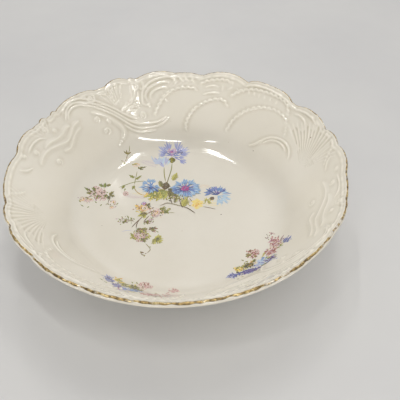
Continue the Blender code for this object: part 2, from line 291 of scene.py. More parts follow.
class Relief:
    """Heights of the moulded relief over a grid of directions and depths on the inside of the wall."""

    def __init__(self, directions, depths):
        self.directions = directions
        self.depths = depths
        self.direction, self.depth = np.meshgrid(directions, depths, indexing="ij")
        radius = inside_profile(self.depth)[0]
        rise = rim_rise(self.direction)
        self.radius = radius + rise * LOBE_FLARE * lobe_share(radius)
        lift = math.sin(WALL_SLOPE) + LOBE_FLARE * math.cos(WALL_SLOPE)
        self.place = self.depth - rise * lobe_share(radius) * lift
        self.height = np.zeros_like(self.direction)
        self.strength = 1.0

    def window(self, low, high, top, bottom):
        """Grid columns and rows around a stretch of the wall."""
        away = np.abs(turn_between(self.directions, (low + high) / 2))
        columns = np.where(away <= (high - low) / 2)[0]
        rows = np.where((self.depths >= top) & (self.depths <= bottom))[0]
        return np.ix_(columns, rows)

    def near(self, line, reach):
        """Grid points near a line: window, distance to it, length along it, side of it, its full length."""
        line = smooth_line(line, 8)
        spread = math.degrees(reach / MIDDLE_RADIUS)
        low, high = line.min(0), line.max(0)
        part = self.window(low[0] - spread, high[0] + spread, low[1] - reach - 4.0, high[1] + reach + 4.0)
        direction, place = self.direction[part], self.place[part]
        scale = np.radians(self.radius[part])
        best = np.full(direction.shape, np.inf)
        along, side = np.zeros(direction.shape), np.zeros(direction.shape)
        walked = 0.0
        for start, end in zip(line, line[1:]):
            across, down = turn_between(direction, start[0]) * scale, place - start[1]
            run, drop = (end[0] - start[0]) * scale, end[1] - start[1]
            share = np.clip((across * run + down * drop) / (run**2 + drop**2), 0.0, 1.0)
            distance = np.hypot(across - share * run, down - share * drop)
            closer = distance < best
            step = math.hypot((end[0] - start[0]) * scale.mean(), drop)
            best = np.where(closer, distance, best)
            along = np.where(closer, walked + share * step, along)
            side = np.where(closer, np.sign(run * down - drop * across), side)
            walked += step
        return part, best, along, side, walked

    def raise_to(self, part, height):
        """Where relief crosses, the higher one shows, and it swells a little."""
        here = self.height[part]
        height = height * self.strength
        swell = CROSSING_SWELL * np.minimum(np.maximum(here, 0.0), height)
        self.height[part] = np.maximum(here, height) + swell

    def ridge(self, line, height, half_width, beads=0.0, pitch=3.6):
        """A rounded ridge that thins towards both ends. Beads make it swell and shrink along its length."""
        part, distance, along, _, length = self.near(line, half_width + 0.5)
        taper = np.clip(np.minimum(along, length - along) / 5.0, 0.0, 1.0) ** 0.6
        swell = 1.0 - beads * (0.5 + 0.5 * np.cos(math.tau * along / pitch))
        width = half_width * (0.45 + 0.55 * taper) * (0.6 + 0.4 * swell)
        bump = np.clip(1.0 - (distance / width) ** 2, 0.0, 1.0) ** 1.3
        self.raise_to(part, height * bump * taper**0.5 * swell)

    def shell_edge(self, line, height, depth, pitch=4.4):
        """A scalloped crest, with a hollow on its inner side that fades away and is fluted near the crest."""
        part, distance, along, side, length = self.near(line, SHELL_REACH)
        end = np.clip(np.minimum(along, length - along) / 6.0, 0.0, 1.0)
        scallop = np.abs(np.sin(math.pi * along / pitch)) ** 0.8
        inward = 1.1 * (scallop - 0.5) + np.where(side < 0, distance, -distance)
        behind = np.clip(inward, 0.0, None)
        hollow = depth * (1.0 - np.exp(-behind / 0.9)) * np.exp(-behind / 6.0)
        fade = np.exp(-np.clip(inward - 1.0, 0.0, None) / 3.5)
        flutes = 0.5 * depth * (scallop - 0.5) * fade * (inward > 0.0)
        self.height[part] -= (hollow + flutes) * end * self.strength
        bump = np.clip(1.0 - (inward / np.where(inward > 0, 1.2, 0.9)) ** 2, 0.0, 1.0)
        self.raise_to(part, height * (0.35 + 0.65 * scallop) * bump * end**0.4)

    def curl(self, direction, depth, radius, turn):
        """A small volute that winds into a boss."""
        scale = math.radians(inside_profile(depth)[0])
        line = []
        for step in range(9):
            angle = math.radians(90.0 + turn * step / 8)
            reach = radius * (1.0 - 0.06 * step)
            line.append((direction + reach * math.cos(angle) / scale, depth + reach * math.sin(angle)))
        self.ridge(line, *CURL_RIDGE)
        part, distance, *_ = self.near(((direction - 0.05, depth), (direction + 0.05, depth)), 2.0)
        self.raise_to(part, BOSS_HEIGHT * np.clip(1.0 - (distance / BOSS_RADIUS) ** 2, 0.0, 1.0))

    def fan(self, hub, first, last, count, height):
        """Sharp ridges with hollow flutes between them, spread from a hub between two end points."""
        scale = math.radians(inside_profile(hub[1] - 14.0)[0])
        low, high = min(last[0], hub[0]) - 4.0, max(first[0], hub[0]) + 4.0
        part = self.window(low, high, 0.0, hub[1] + 2.0)
        across = turn_between(self.direction[part], hub[0]) * scale
        up = hub[1] - self.place[part]
        reach, angle = np.hypot(across, up), np.arctan2(across, up)
        ends = [((end[0] - hub[0]) * scale, hub[1] - end[1]) for end in (last, first)]
        angles = [math.atan2(*end) for end in ends]
        share = (angle - angles[0]) / (angles[1] - angles[0])
        hollow = np.abs(np.sin(math.pi * share * count)) ** 0.9
        full = math.hypot(*ends[0]) + (math.hypot(*ends[1]) - math.hypot(*ends[0])) * share
        inside = np.where((share > 0.0) & (share < 1.0), 1.0, 0.0)
        tips = np.clip((full + 1.6 * hollow - reach) / 1.5, 0.0, 1.0)
        inside = inside * np.clip((reach - 5.0) / 6.0, 0.0, 1.0) * tips
        self.height[part] += inside * height * self.strength * (0.55 - hollow)

    def motif(self, turn, strength):
        """The whole motif of one half of the bowl, turned round it."""
        self.strength = strength

        def moved(line):
            return [(direction + turn, depth) for direction, depth in line]

        for line in SHELL_EDGES:
            self.shell_edge(moved(line), SHELL_HEIGHT, SHELL_DEPTH)
        for hub, first, last, count, height in FANS:
            self.fan(*moved((hub, first, last)), count, height)
        for line in SCROLL_STRANDS:
            self.ridge(moved(line), *STRAND_RIDGE)
        for line in WAVES:
            self.ridge(moved(line), *WAVE_SWELL)
            self.ridge(moved(line), *WAVE_CREST)
        for line in C_SCROLLS:
            self.ridge(moved(line), *C_RIDGE)
        for line in BEAD_LINES:
            self.ridge(moved(line), *BEADED_RIDGE)
        for line in RIBS:
            self.ridge(moved(line), *RIB_RIDGE)
        for direction, depth, radius, sweep in CURLS:
            self.curl(direction + turn, depth, radius, sweep)

    def rim_band(self):
        """A rolled band along the rim, nicked at short, uneven steps."""
        angle = np.radians(self.direction)
        nicks = np.sin(angle * 97.0) + 0.7 * np.sin(angle * 61.0 + 1.0) + 0.5 * np.sin(angle * 139.0 + 2.0)
        below = self.depth - LIP_DEPTH
        band = np.clip(1.0 - ((below - BAND_DEPTH) / BAND_HALF_WIDTH) ** 2, 0.0, 1.0)
        self.height += BAND_HEIGHT * band * (1.0 + NICK_SHARE * nicks)

    def finish(self):
        """Lets the relief run out at the lip and at the floor, softens it as glaze does, and keeps its tone
        for painted shade and highlight.
        """
        self.height *= np.clip((self.depth - LIP_DEPTH) / LIP_FADE, 0.0, 1.0)
        self.height *= np.clip((BEND_DEPTH + FLOOR_FADE - self.depth) / FLOOR_FADE, 0.0, 1.0)
        height = self.height
        around = (np.roll(height, 1, 0) + np.roll(height, -1, 0)) / 2
        updown = height.copy()
        updown[:, 1:-1] = (height[:, 2:] + height[:, :-2]) / 2
        self.height = 0.6 * height + 0.2 * around + 0.2 * updown
        # tone: below 0 in hollows and above 0 on crests; it paints shade into the hollows and highlight onto
        # the crests
        self.tone = np.clip(self.height - self.blurred(6, 3), -0.8, 0.8)

    def blurred(self, across, down):
        """The heights averaged over a small block of grid points."""
        total = sum(np.roll(self.height, step, 0) for step in range(-across, across + 1)) / (2 * across + 1)
        padded = np.pad(total, ((0, 0), (down, down)), "edge")
        rows = total.shape[1]
        return sum(padded[:, step:step + rows] for step in range(2 * down + 1)) / (2 * down + 1)

    def sample(self, direction, depth):
        """Height at any direction and depth, read between the grid's points."""
        count = len(self.directions)
        column = np.asarray(direction, float) % 360.0 / 360.0 * count
        row = np.interp(depth, self.depths, np.arange(len(self.depths)))
        i = np.floor(column).astype(int) % count
        j = np.minimum(np.floor(row).astype(int), len(self.depths) - 2)
        u, v = column - np.floor(column), row - j
        k = (i + 1) % count
        upper = self.height[i, j] * (1 - u) + self.height[k, j] * u
        lower = self.height[i, j + 1] * (1 - u) + self.height[k, j + 1] * u
        return upper * (1 - v) + lower * v


# ---------------------------------------------------------------- meshes

COLUMNS = 1080
WALL_ROWS = 98
BEND_ROWS = 24
FLOOR_RINGS = (3.0, 9.0, 15.0, 21.0, 27.0, 32.0, 37.0, 41.0, 45.0, 49.0, 53.0, 57.0, 60.0, 63.0)
UV_NAME = "OFBake"


def inside_points(direction, depth, lift, relief):
    """Points over the finished inside of the bowl, lifted square to it, in metres."""
    radius, height, slope = inside_profile(depth)
    lift = lift + relief.sample(direction, depth)
    rise = rim_rise(direction) * lobe_share(radius)
    radius = radius + rise * LOBE_FLARE - lift * np.sin(slope) - front_pull(direction, radius, 1.0)
    height = height + rise + lift * np.cos(slope)
    angle = np.radians(direction)
    return np.stack((radius * np.cos(angle), radius * np.sin(angle), height), -1) * MM


def lobed_ring(directions, radius, height, inner=0.0):
    """A ring at a radius and a height, moved with the lobes and the front of the rim."""
    radii = np.broadcast_to(radius, directions.shape)
    rise = rim_rise(directions) * lobe_share(radii)
    wide = radius + rise * LOBE_FLARE - front_pull(directions, radii, inner)
    angle = np.radians(directions)
    return np.stack((wide * np.cos(angle), wide * np.sin(angle), height + rise), -1) * MM


def lip_ring(directions, angle, offset):
    """A ring round the lip's half round. Angle 0 is its inner edge, 90 its top and 180 its outer edge."""
    across = (math.sin(WALL_SLOPE), -math.cos(WALL_SLOPE))
    along = (math.cos(WALL_SLOPE), math.sin(WALL_SLOPE))
    reach, turn = LIP_THICKNESS / 2 + offset, np.radians(angle)
    up, out = reach * np.sin(turn), LIP_THICKNESS / 2 - reach * np.cos(turn)
    radius = WALL_TOP_RADIUS + along[0] * up + across[0] * out
    height = WALL_TOP_HEIGHT + along[1] * up + across[1] * out
    return lobed_ring(directions, radius, height, (1.0 + np.cos(turn)) / 2)


def make_mesh(name, points, faces, material, uvs, colours=None):
    """A smooth mesh object with the map that its textures are made on."""
    mesh = bpy.data.meshes.new(name)
    mesh.from_pydata(points.tolist(), [], faces)
    layer = mesh.uv_layers.new(name=UV_NAME)
    layer.data.foreach_set("uv", np.asarray(uvs, np.float32).ravel())
    if colours is not None:
        paint = mesh.color_attributes.new("paint", "FLOAT_COLOR", "POINT")
        paint.data.foreach_set("color", np.asarray(colours, np.float32).ravel())
    mesh.materials.append(material)
    mesh.shade_smooth()
    obj = bpy.data.objects.new(name, mesh)
    bpy.context.scene.collection.objects.link(obj)
    return obj


def skin_rings(name, rings, material, closed, poles=(), tones=None):
    """A surface over rings of points, closed into a loop or ended by a pole at each end."""
    rows, columns = len(rings), len(rings[0])
    points = np.concatenate(rings)
    faces, uvs = [], []
    for row in range(rows if closed else rows - 1):
        here, below = row * columns, (row + 1) % rows * columns
        top, bottom = (row + 0.5) / (rows + 1), (row + 1.5) / (rows + 1)
        for column in range(columns):
            after = (column + 1) % columns
            left, right = column / columns, (column + 1) / columns
            faces.append((here + column, below + column, below + after, here + after))
            uvs += ((left, top), (left, bottom), (right, bottom), (right, top))
    if poles:
        points = np.vstack((points, poles))
        last = (rows - 1) * columns
        low, high = 0.5 / (rows + 1), (rows - 0.5) / (rows + 1)
        for column in range(columns):
            after = (column + 1) % columns
            left, right = column / columns, (column + 1) / columns
            faces.append((len(points) - 2, column, after))
            uvs += (((left + right) / 2, 0.0), (left, low), (right, low))
            faces.append((len(points) - 1, last + after, last + column))
            uvs += (((left + right) / 2, 1.0), (right, high), (left, high))
    colours = None
    # the tones go into a grey paint layer; on the bowl they carry its painted shade and highlight
    if tones is not None:
        grey = np.full(len(points), 0.5)
        grey[:rows * columns] = np.concatenate(tones)
        colours = np.stack((grey, grey, grey, np.ones(len(points))), -1)
    return make_mesh(name, points, faces, material, uvs, colours)


def outside_line():
    """Outside of the body from under the lip to the edge of the flat underside, as (radius, height)."""
    across = np.array((math.sin(WALL_SLOPE), -math.cos(WALL_SLOPE)))
    line = []
    for share in np.linspace(0.04, 1.0, 12):
        radius, height, _ = inside_profile(LIP_DEPTH + (BEND_DEPTH - LIP_DEPTH) * share)
        thickness = LIP_THICKNESS + (WALL_THICKNESS - LIP_THICKNESS) * min(1.0, 2 * share)
        line.append(np.array((radius, height)) + across * thickness)
    for share in np.linspace(0.0, 1.0, 8)[1:]:
        radius, height, slope = inside_profile(BEND_DEPTH + (FLOOR_DEPTH - BEND_DEPTH) * share)
        thickness = WALL_THICKNESS + (BASE_THICKNESS - WALL_THICKNESS) * share
        line.append((radius + thickness * math.sin(slope), height - thickness * math.cos(slope)))
    line.append((UNDERSIDE_RADIUS, UNDERSIDE_HEIGHT))
    return line


LIP_PAINTED_SHADE = (0.0, 0.0, 0.03, 0.1, 0.16, 0.18, 0.18, 0.12, 0.06)  # painted shade round the lip, darker towards its outer side
UNDERSIDE_RINGS = (45.0, 20.0, 4.0)


def build_bowl(relief, material):
    """The porcelain body as one closed mesh, from the middle of the floor over the lip to the underside."""
    directions = relief.directions
    depths = list(depth_of_radius(np.array(FLOOR_RINGS))) + list(relief.depths[::-1])
    rings = [inside_points(directions, np.full(COLUMNS, depth), 0.0, relief) for depth in depths]
    rings += [lip_ring(directions, angle, 0.0) for angle in np.linspace(0.0, 180.0, 8)[1:]]
    rings += [lobed_ring(directions, radius, height) for radius, height in outside_line()]
    rings += [lobed_ring(directions, radius, UNDERSIDE_HEIGHT) for radius in UNDERSIDE_RINGS]
    poles = ((0.0, 0.0, FLOOR_HEIGHT * MM), (0.0, 0.0, UNDERSIDE_HEIGHT * MM))
    tones = [np.full(COLUMNS, 0.5)] * len(rings)
    first = len(FLOOR_RINGS)
    # the relief's tone paints shade into its hollows and highlight onto its crests
    tones[first:first + len(relief.depths)] = [0.5 + 1.0 * row for row in relief.tone.T[::-1]]
    # painted shade round the lip, darker towards its outer side
    for index, lip_shade in enumerate(LIP_PAINTED_SHADE):
        tones[first + len(relief.depths) + index] = np.full(COLUMNS, 0.5 - lip_shade)
    return skin_rings("porcelain_body", rings, material, False, poles, tones)


FOOT_SECTION = (  # radius and height of the foot ring's outline, down its inner side and up its outer side
    (57.3, 4.7), (57.1, 3.4), (57.05, 2.2), (57.15, 1.2), (57.5, 0.5), (58.1, 0.1), (58.8, 0.0), (60.2, 0.0),
    (61.1, 0.1), (61.9, 0.5), (62.3, 1.2), (62.6, 2.2), (63.1, 3.4), (63.6, 4.7),
)
FOOT_COLUMNS = 240


def build_foot(material):
    directions = np.arange(FOOT_COLUMNS) * 360.0 / FOOT_COLUMNS
    rings = [lobed_ring(directions, radius, height) for radius, height in FOOT_SECTION]
    return skin_rings("foot_ring_porcelain", rings[::-1], material, True)


GILT_FROM, GILT_TO = 40.0, 86.0  # where the gold starts and ends round the lip, in degrees of its half round
GILT_FRONT_REACH = 16.0  # how much lower it starts at the front
GILT_FROM_WAVER, GILT_TO_WAVER = 12.0, 14.0
GILT_SECTION = (  # share of the way across the gold, and height over the lip; the last two lie under it
    (0.0, 0.0), (0.2, 0.07), (0.5, 0.09), (0.8, 0.07), (1.0, 0.0), (0.7, -0.15), (0.3, -0.15),
)


def waver(directions, waves, seed):
    """A smooth uneven value between about -1 and 1 round the bowl."""
    dice = random.Random(seed)
    total = np.zeros(directions.shape)
    for cycles in waves:
        total += np.sin(np.radians(directions) * cycles + dice.uniform(0.0, math.tau))
    return total / math.sqrt(len(waves) * 2.0)


def build_gilding(directions, material):
    """The band of gold, laid by brush: its edges waver and it thins where it has worn."""
    front = np.clip(np.cos(np.radians(turn_between(directions, FRONT))), 0.0, 1.0)
    start = GILT_FROM - GILT_FRONT_REACH * front + GILT_FROM_WAVER * waver(directions, (23, 57, 89, 131), 1)
    end = GILT_TO + GILT_TO_WAVER * waver(directions, (19, 43, 71, 113), 2)
    rings = [lip_ring(directions, start + (end - start) * share, lift) for share, lift in GILT_SECTION]
    return skin_rings("gilt_line", rings, material, True)


# ---------------------------------------------------------------- enamel

IVORY = (0.76, 0.725, 0.645)  # the porcelain's own colour
PAINT_GAIN = 1.1  # scales the paint's colours to suit the lamps
SHEEN = 0.022  # what the enamel's own shine adds to a colour


def paint(red, green, blue):
    """An enamel colour from screen values between 0 and 255."""
    linear = [PAINT_GAIN * (value / 255.0) ** 2.2 - SHEEN for value in (red, green, blue)]
    return tuple(min(0.9, max(0.004, value)) for value in linear)


def blend(one, other, share):
    return tuple(a + (b - a) * share for a, b in zip(one, other))


def ahead(place, reach, angle):
    """The point at a reach from a place, in a direction in radians."""
    return place[0] + reach * math.cos(angle), place[1] + reach * math.sin(angle)


def turned(vector, angle):
    """A plan vector turned by an angle in radians."""
    c, s = math.cos(angle), math.sin(angle)
    return vector[0] * c - vector[1] * s, vector[0] * s + vector[1] * c


PERIWINKLE = paint(112, 124, 188)
DEEP_PERIWINKLE = paint(74, 80, 146)
LAVENDER = paint(172, 176, 212)
CORNFLOWER = paint(94, 134, 192)
DEEP_BLUE = paint(58, 80, 142)
SKY = paint(150, 184, 214)
PALE_SKY = paint(184, 206, 224)
MAGENTA = paint(172, 62, 132)
VIOLET = paint(104, 84, 150)
INDIGO = paint(58, 54, 112)
ORCHID = paint(164, 140, 184)
OLIVE = paint(132, 126, 48)
DARK_OLIVE = paint(78, 78, 30)
LIME = paint(188, 182, 84)
LEAF = paint(124, 136, 60)
BROWN = paint(110, 86, 56)
UMBER = paint(78, 62, 42)
YELLOW = paint(238, 210, 104)
AMBER = paint(216, 166, 88)
PINK = paint(212, 178, 174)
PALE_PINK = paint(228, 206, 196)
ROSE = paint(172, 112, 110)
RUSSET = paint(140, 70, 62)
MAUVE = paint(180, 140, 160)

DENSER = 1.6  # the right spray and the hanging branch take this many times their counts of top dabs


class Spray:
    """Enamel strokes of one spray. Places are in plan, in millimetres from the bowl's axis."""

    EDGE_LIFT = 0.010  # height of a stroke's edges over the glaze
    CROWN = 0.006  # how much higher its middle is
    ROOT = -0.06  # how deep its underside sinks
    LAYER = 0.007  # how much each stroke lies over the one below
    SPACING = 1.1  # between the sections of a stroke
    FEWEST, MOST = 4, 14  # sections in a stroke

    def __init__(self, seed):
        self.random = random.Random(seed)
        self.strokes = []

    def stroke(self, line, width, tone, tip=None, belly=0.5, soft=0.25, side=None):
        """One brush stroke, widest at the share belly of its length. Its tone can run to a tip and a side."""
        line = smooth_line(line, 5)
        lengths = np.concatenate(((0.0,), np.cumsum(np.hypot(*np.diff(line, axis=0).T))))
        count = int(min(self.MOST, max(self.FEWEST, lengths[-1] / self.SPACING)))
        share = np.linspace(0.0, 1.0, count)
        line = np.stack([np.interp(share * lengths[-1], lengths, line[:, axis]) for axis in (0, 1)], -1)
        if belly:
            half = np.sin(math.pi * share ** (math.log(0.5) / math.log(belly)))
        else:
            half = np.minimum(1.0, 5.0 * np.minimum(share, 1.0 - share)) ** 0.5
        half = np.maximum(half * width / 2 * self.random.uniform(0.88, 1.12), 0.02)
        self.strokes.append((line, half, tone, tip or tone, soft, side or tone))

    def stem(self, line, width, tone, tip=None):
        self.stroke(line, width, tone, tip, belly=None, soft=0.1)

    def floret(self, hub, end, tone, tip, width=1.5):
        """A trumpet floret: a narrow tube that opens into pointed lobes."""
        hub, end = np.array(hub, float), np.array(end, float)
        reach = end - hub
        mouth = hub + 0.42 * reach
        self.stroke((hub, mouth + 0.1 * reach), 0.75 * width, tone, soft=0.1)
        for lobe in range(5):
            turn = math.radians(-36.0 + 18.0 * lobe + self.jitter(5.0))
            size = 0.6 * self.random.uniform(0.72, 1.05) * (1.0 - 0.12 * abs(lobe - 2))
            way = np.array(turned(reach, turn))
            shade = blend(tone, tip, self.random.uniform(0.5, 1.0))
            self.stroke((mouth, mouth + size * way), width, tone, shade, belly=0.58, side=tip)

    def cornflower(self, hub, ends, tone, tip, width=1.5):
        for end in ends:
            self.floret(hub, end, tone, tip, width)

    def filaments(self, hub, reach, count, first, last, tone):
        """Thin strokes round a flower's middle, between two directions in degrees."""
        for index in range(count):
            angle = math.radians(first + (last - first) * (index + 0.5) / count + self.jitter(6.0))
            length = reach * self.random.uniform(0.65, 1.05)
            self.stroke((ahead(hub, 0.2 * length, angle), ahead(hub, length, angle)), 0.7, tone, soft=0.1)

    def calyx(self, base, tip, width, tone, shade):
        """A scaly egg-shaped calyx."""
        base, tip = np.array(base, float), np.array(tip, float)
        along = tip - base
        across = np.array((-along[1], along[0])) / np.hypot(*along)
        self.stroke((base, tip), width, tone, soft=0.0, side=shade)
        for row in range(3):
            for column in (-1, 0, 1):
                start = base + along * (0.22 + 0.22 * row) + across * column * width * 0.22
                self.stroke((start, start + along * 0.2), width * 0.2, shade, soft=0.3)

    def jitter(self, amount):
        return self.random.uniform(-amount, amount)

    def leaf(self, base, tip, width, tone, shade):
        """A jagged leaf painted in short side strokes that turn from its lit side to its shaded side."""
        length = math.dist(base, tip)
        along = ((tip[0] - base[0]) / length, (tip[1] - base[1]) / length)
        self.stroke((base, tip), 0.75 * width, tone, soft=0.15, side=shade, belly=0.45)
        count = max(2, round(length / 1.7))
        for step in range(count):
            share = (step + 0.35) / count
            bow = math.sin(math.pi * min(0.93, share + 0.12) ** 0.75)
            reach = 0.62 * width * bow * self.random.uniform(0.75, 1.25)
            start = (base[0] + along[0] * length * share, base[1] + along[1] * length * share)
            for side in (-1, 1):
                mixed = blend(tone, shade, min(1.0, max(0.0, 0.5 - 0.32 * side + self.jitter(0.3))))
                end = (
                    start[0] + reach * (0.95 * along[0] - side * along[1]),
                    start[1] + reach * (0.95 * along[1] + side * along[0]),
                )
                self.stroke((start, end), 1.25, mixed, blend(mixed, LIME, 0.25), belly=0.42, soft=0.2)
        self.stroke((base, blend(base, tip, 0.85)), 0.4, blend(shade, UMBER, 0.4), soft=0.1, belly=0.3)

    def trefoil(self, base, tip, tone, shade):
        """A small leaf with three pointed lobes."""
        reach = (tip[0] - base[0], tip[1] - base[1])
        for turn, size in ((58.0, 0.8), (-58.0, 0.8), (0.0, 1.0)):
            x, y = turned(reach, math.radians(turn))
            end = (base[0] + size * x, base[1] + size * y)
            self.leaf(base, end, 0.5 * math.hypot(*reach), tone, shade)

    def blossom(self, centre, radius, petal, rim, heart):
        """A small ragged blossom: soft petals, short darker strokes on their rims, and a dark heart."""
        turn = self.random.uniform(0.0, 72.0)
        for index in range(5):
            way = math.radians(turn + 72.0 * index + self.jitter(8.0))
            size = radius * self.random.uniform(0.85, 1.1)
            pale = blend(petal, IVORY, 0.35)
            self.stroke((centre, ahead(centre, size, way)), 0.95 * radius, pale, petal, belly=0.6, soft=0.5)
            for bend in (-0.42, 0.05, 0.4):
                line = (ahead(centre, 0.55 * size, way + bend), ahead(centre, size, way + 0.8 * bend))
                shade = blend(petal, rim, self.random.uniform(0.1, 0.9))
                self.stroke(line, 0.32 * radius, shade, rim, belly=0.6, soft=0.4)
        self.filaments(centre, 0.5 * radius, 5, 0.0, 360.0, heart)

    def bud(self, base, tip, width, tone, shade):
        self.stroke((base, tip), width, tone, soft=0.15, side=shade, belly=0.6)

    def wash(self, line, width, tone, strength):
        """A broad, faint tint in overlapping soft strokes."""
        for _ in range(5):
            shifted = [(x + self.jitter(0.22 * width), y + self.jitter(0.22 * width)) for x, y in line]
            self.stroke(shifted, 0.6 * width, blend(IVORY, tone, strength), soft=0.97)

    def dabs(self, centre, spread, count, size, *tones):
        """Loose short strokes in mixed tones, gathered round a centre."""
        for _ in range(count):
            angle, reach = self.random.uniform(0.0, math.tau), self.random.uniform(0.05, 1.0) ** 0.6
            start = (
                centre[0] + spread[0] * reach * math.cos(angle),
                centre[1] + spread[1] * reach * math.sin(angle),
            )
            way, length = self.random.uniform(0.0, math.tau), size * self.random.uniform(0.7, 1.6)
            width = size * self.random.uniform(0.4, 0.75)
            self.stroke((start, ahead(start, length, way)), width, self.random.choice(tones), soft=0.15)

    def dab_groups(self, size, groups, density=1.0):
        """Dabs in several groups, each with its centre, spread, count and tones."""
        for centre, spread, count, tones in groups:
            self.dabs(centre, spread, round(density * count), size, *tones)

    def strokes_of(self, width, tone, tip, lines):
        for line in lines:
            self.stroke(line, width, tone, tip)

    def leaves(self, width, shade, rows):
        for base, tip, tone in rows:
            self.leaf(base, tip, width, tone, shade)

    def buds(self, width, tone, shade, rows):
        for base, tip in rows:
            self.bud(base, tip, width, tone, shade)

    def spikes(self, hub, reach, count, first, last, width, *tones):
        """Long thin petals in mixed tones that radiate from a hub between two directions in degrees."""
        for index in range(count):
            angle = math.radians(first + (last - first) * (index + 0.5) / count + self.jitter(5.0))
            far = reach * self.random.uniform(0.78, 1.08)
            line = (ahead(hub, 0.28 * reach, angle), ahead(hub, far, angle))
            tone = self.random.choice(tones)
            self.stroke(line, width * self.random.uniform(0.7, 1.2), tone, belly=0.68, soft=0.2)

    def layers(self):
        """How many strokes each stroke lies on, so that later ones show on top."""
        boxes = np.array([(*line.min(0), *line.max(0)) for line, *_ in self.strokes])
        layers = np.zeros(len(boxes))
        for index in range(1, len(boxes)):
            low, high = boxes[:index, :2], boxes[:index, 2:]
            under = np.all((low < boxes[index, 2:]) & (high > boxes[index, :2]), axis=1)
            layers[index] = 1.0 + layers[:index][under].max() if under.any() else 0.0
        return layers

    def build(self, name, relief, material):
        """One mesh of all strokes: each is a thin crowned skin over an underside sunk into the glaze."""
        plan, lifts, colours, faces, uvs = [], [], [], [], []
        cells = math.ceil(math.sqrt(len(self.strokes)))
        layers = self.layers()
        for index, (line, half, tone, tip, soft, side) in enumerate(self.strokes):
            forward = np.gradient(line, axis=0)
            left = np.stack((-forward[:, 1], forward[:, 0]), -1) * (half / np.hypot(*forward.T))[:, None]
            base = self.EDGE_LIFT + self.LAYER * layers[index]
            corner = np.array((index % cells, index // cells)) + 0.04
            for skin, middle in enumerate((self.CROWN, self.ROOT)):
                for step, share in enumerate(np.linspace(0.0, 1.0, len(line))):
                    crown = blend(tone, tip, share)
                    rims = (blend(crown, IVORY, soft), crown, blend(blend(crown, side, 0.8), IVORY, soft))
                    start = len(plan)
                    plan += [line[step] + left[step] * across for across in (1, 0, -1)]
                    lifts += (base, base + middle, base)
                    colours += [(*colour, 1.0) for colour in rims]
                    if step:
                        for way in (0, 1):
                            ring = (start - 3 + way, start - 2 + way, start + 1 + way, start + way)
                            faces.append(ring[::-1] if skin else ring)
                            for point in faces[-1]:
                                along = (step - (point < start)) / (len(line) - 1)
                                around = (point % 3 + 2 * skin) / 4
                                uvs.append((corner + (0.92 * along, 0.92 * around)) / cells)
        plan = np.array(plan)
        direction = np.degrees(np.arctan2(plan[:, 1], plan[:, 0]))
        depth = depth_of_radius(np.hypot(plan[:, 0], plan[:, 1]))
        points = inside_points(direction, depth, np.array(lifts), relief)
        return make_mesh(name, points, faces, material, uvs, colours)


def paint_centre(spray):
    """The large spray on the floor, which reaches up the back of the bend."""
    haze(spray)
    hanging_branch(spray)
    left_cluster(spray)
    foliage(spray)
    large_flowers(spray)


def haze(spray):
    spray.wash(((-31, 58), (-24, 56), (-18, 52)), 9.0, ORCHID, 0.24)
    spray.wash(((-44, 18), (-36, 17), (-28, 14)), 7.0, MAUVE, 0.32)
    spray.wash(((-38, 20), (-32, 19), (-27, 17)), 5.0, YELLOW, 0.25)
    spray.wash(((17, 26), (21, 25), (25, 25)), 6.0, AMBER, 0.2)
    spray.wash(((20, 5), (27, 4), (34, 3)), 6.0, YELLOW, 0.34)
    spray.wash(((5, 10), (8, 6), (11, 4)), 6.0, PINK, 0.4)
    spray.wash(((-32, 3), (-24, 1), (-14, -1)), 9.0, PINK, 0.4)


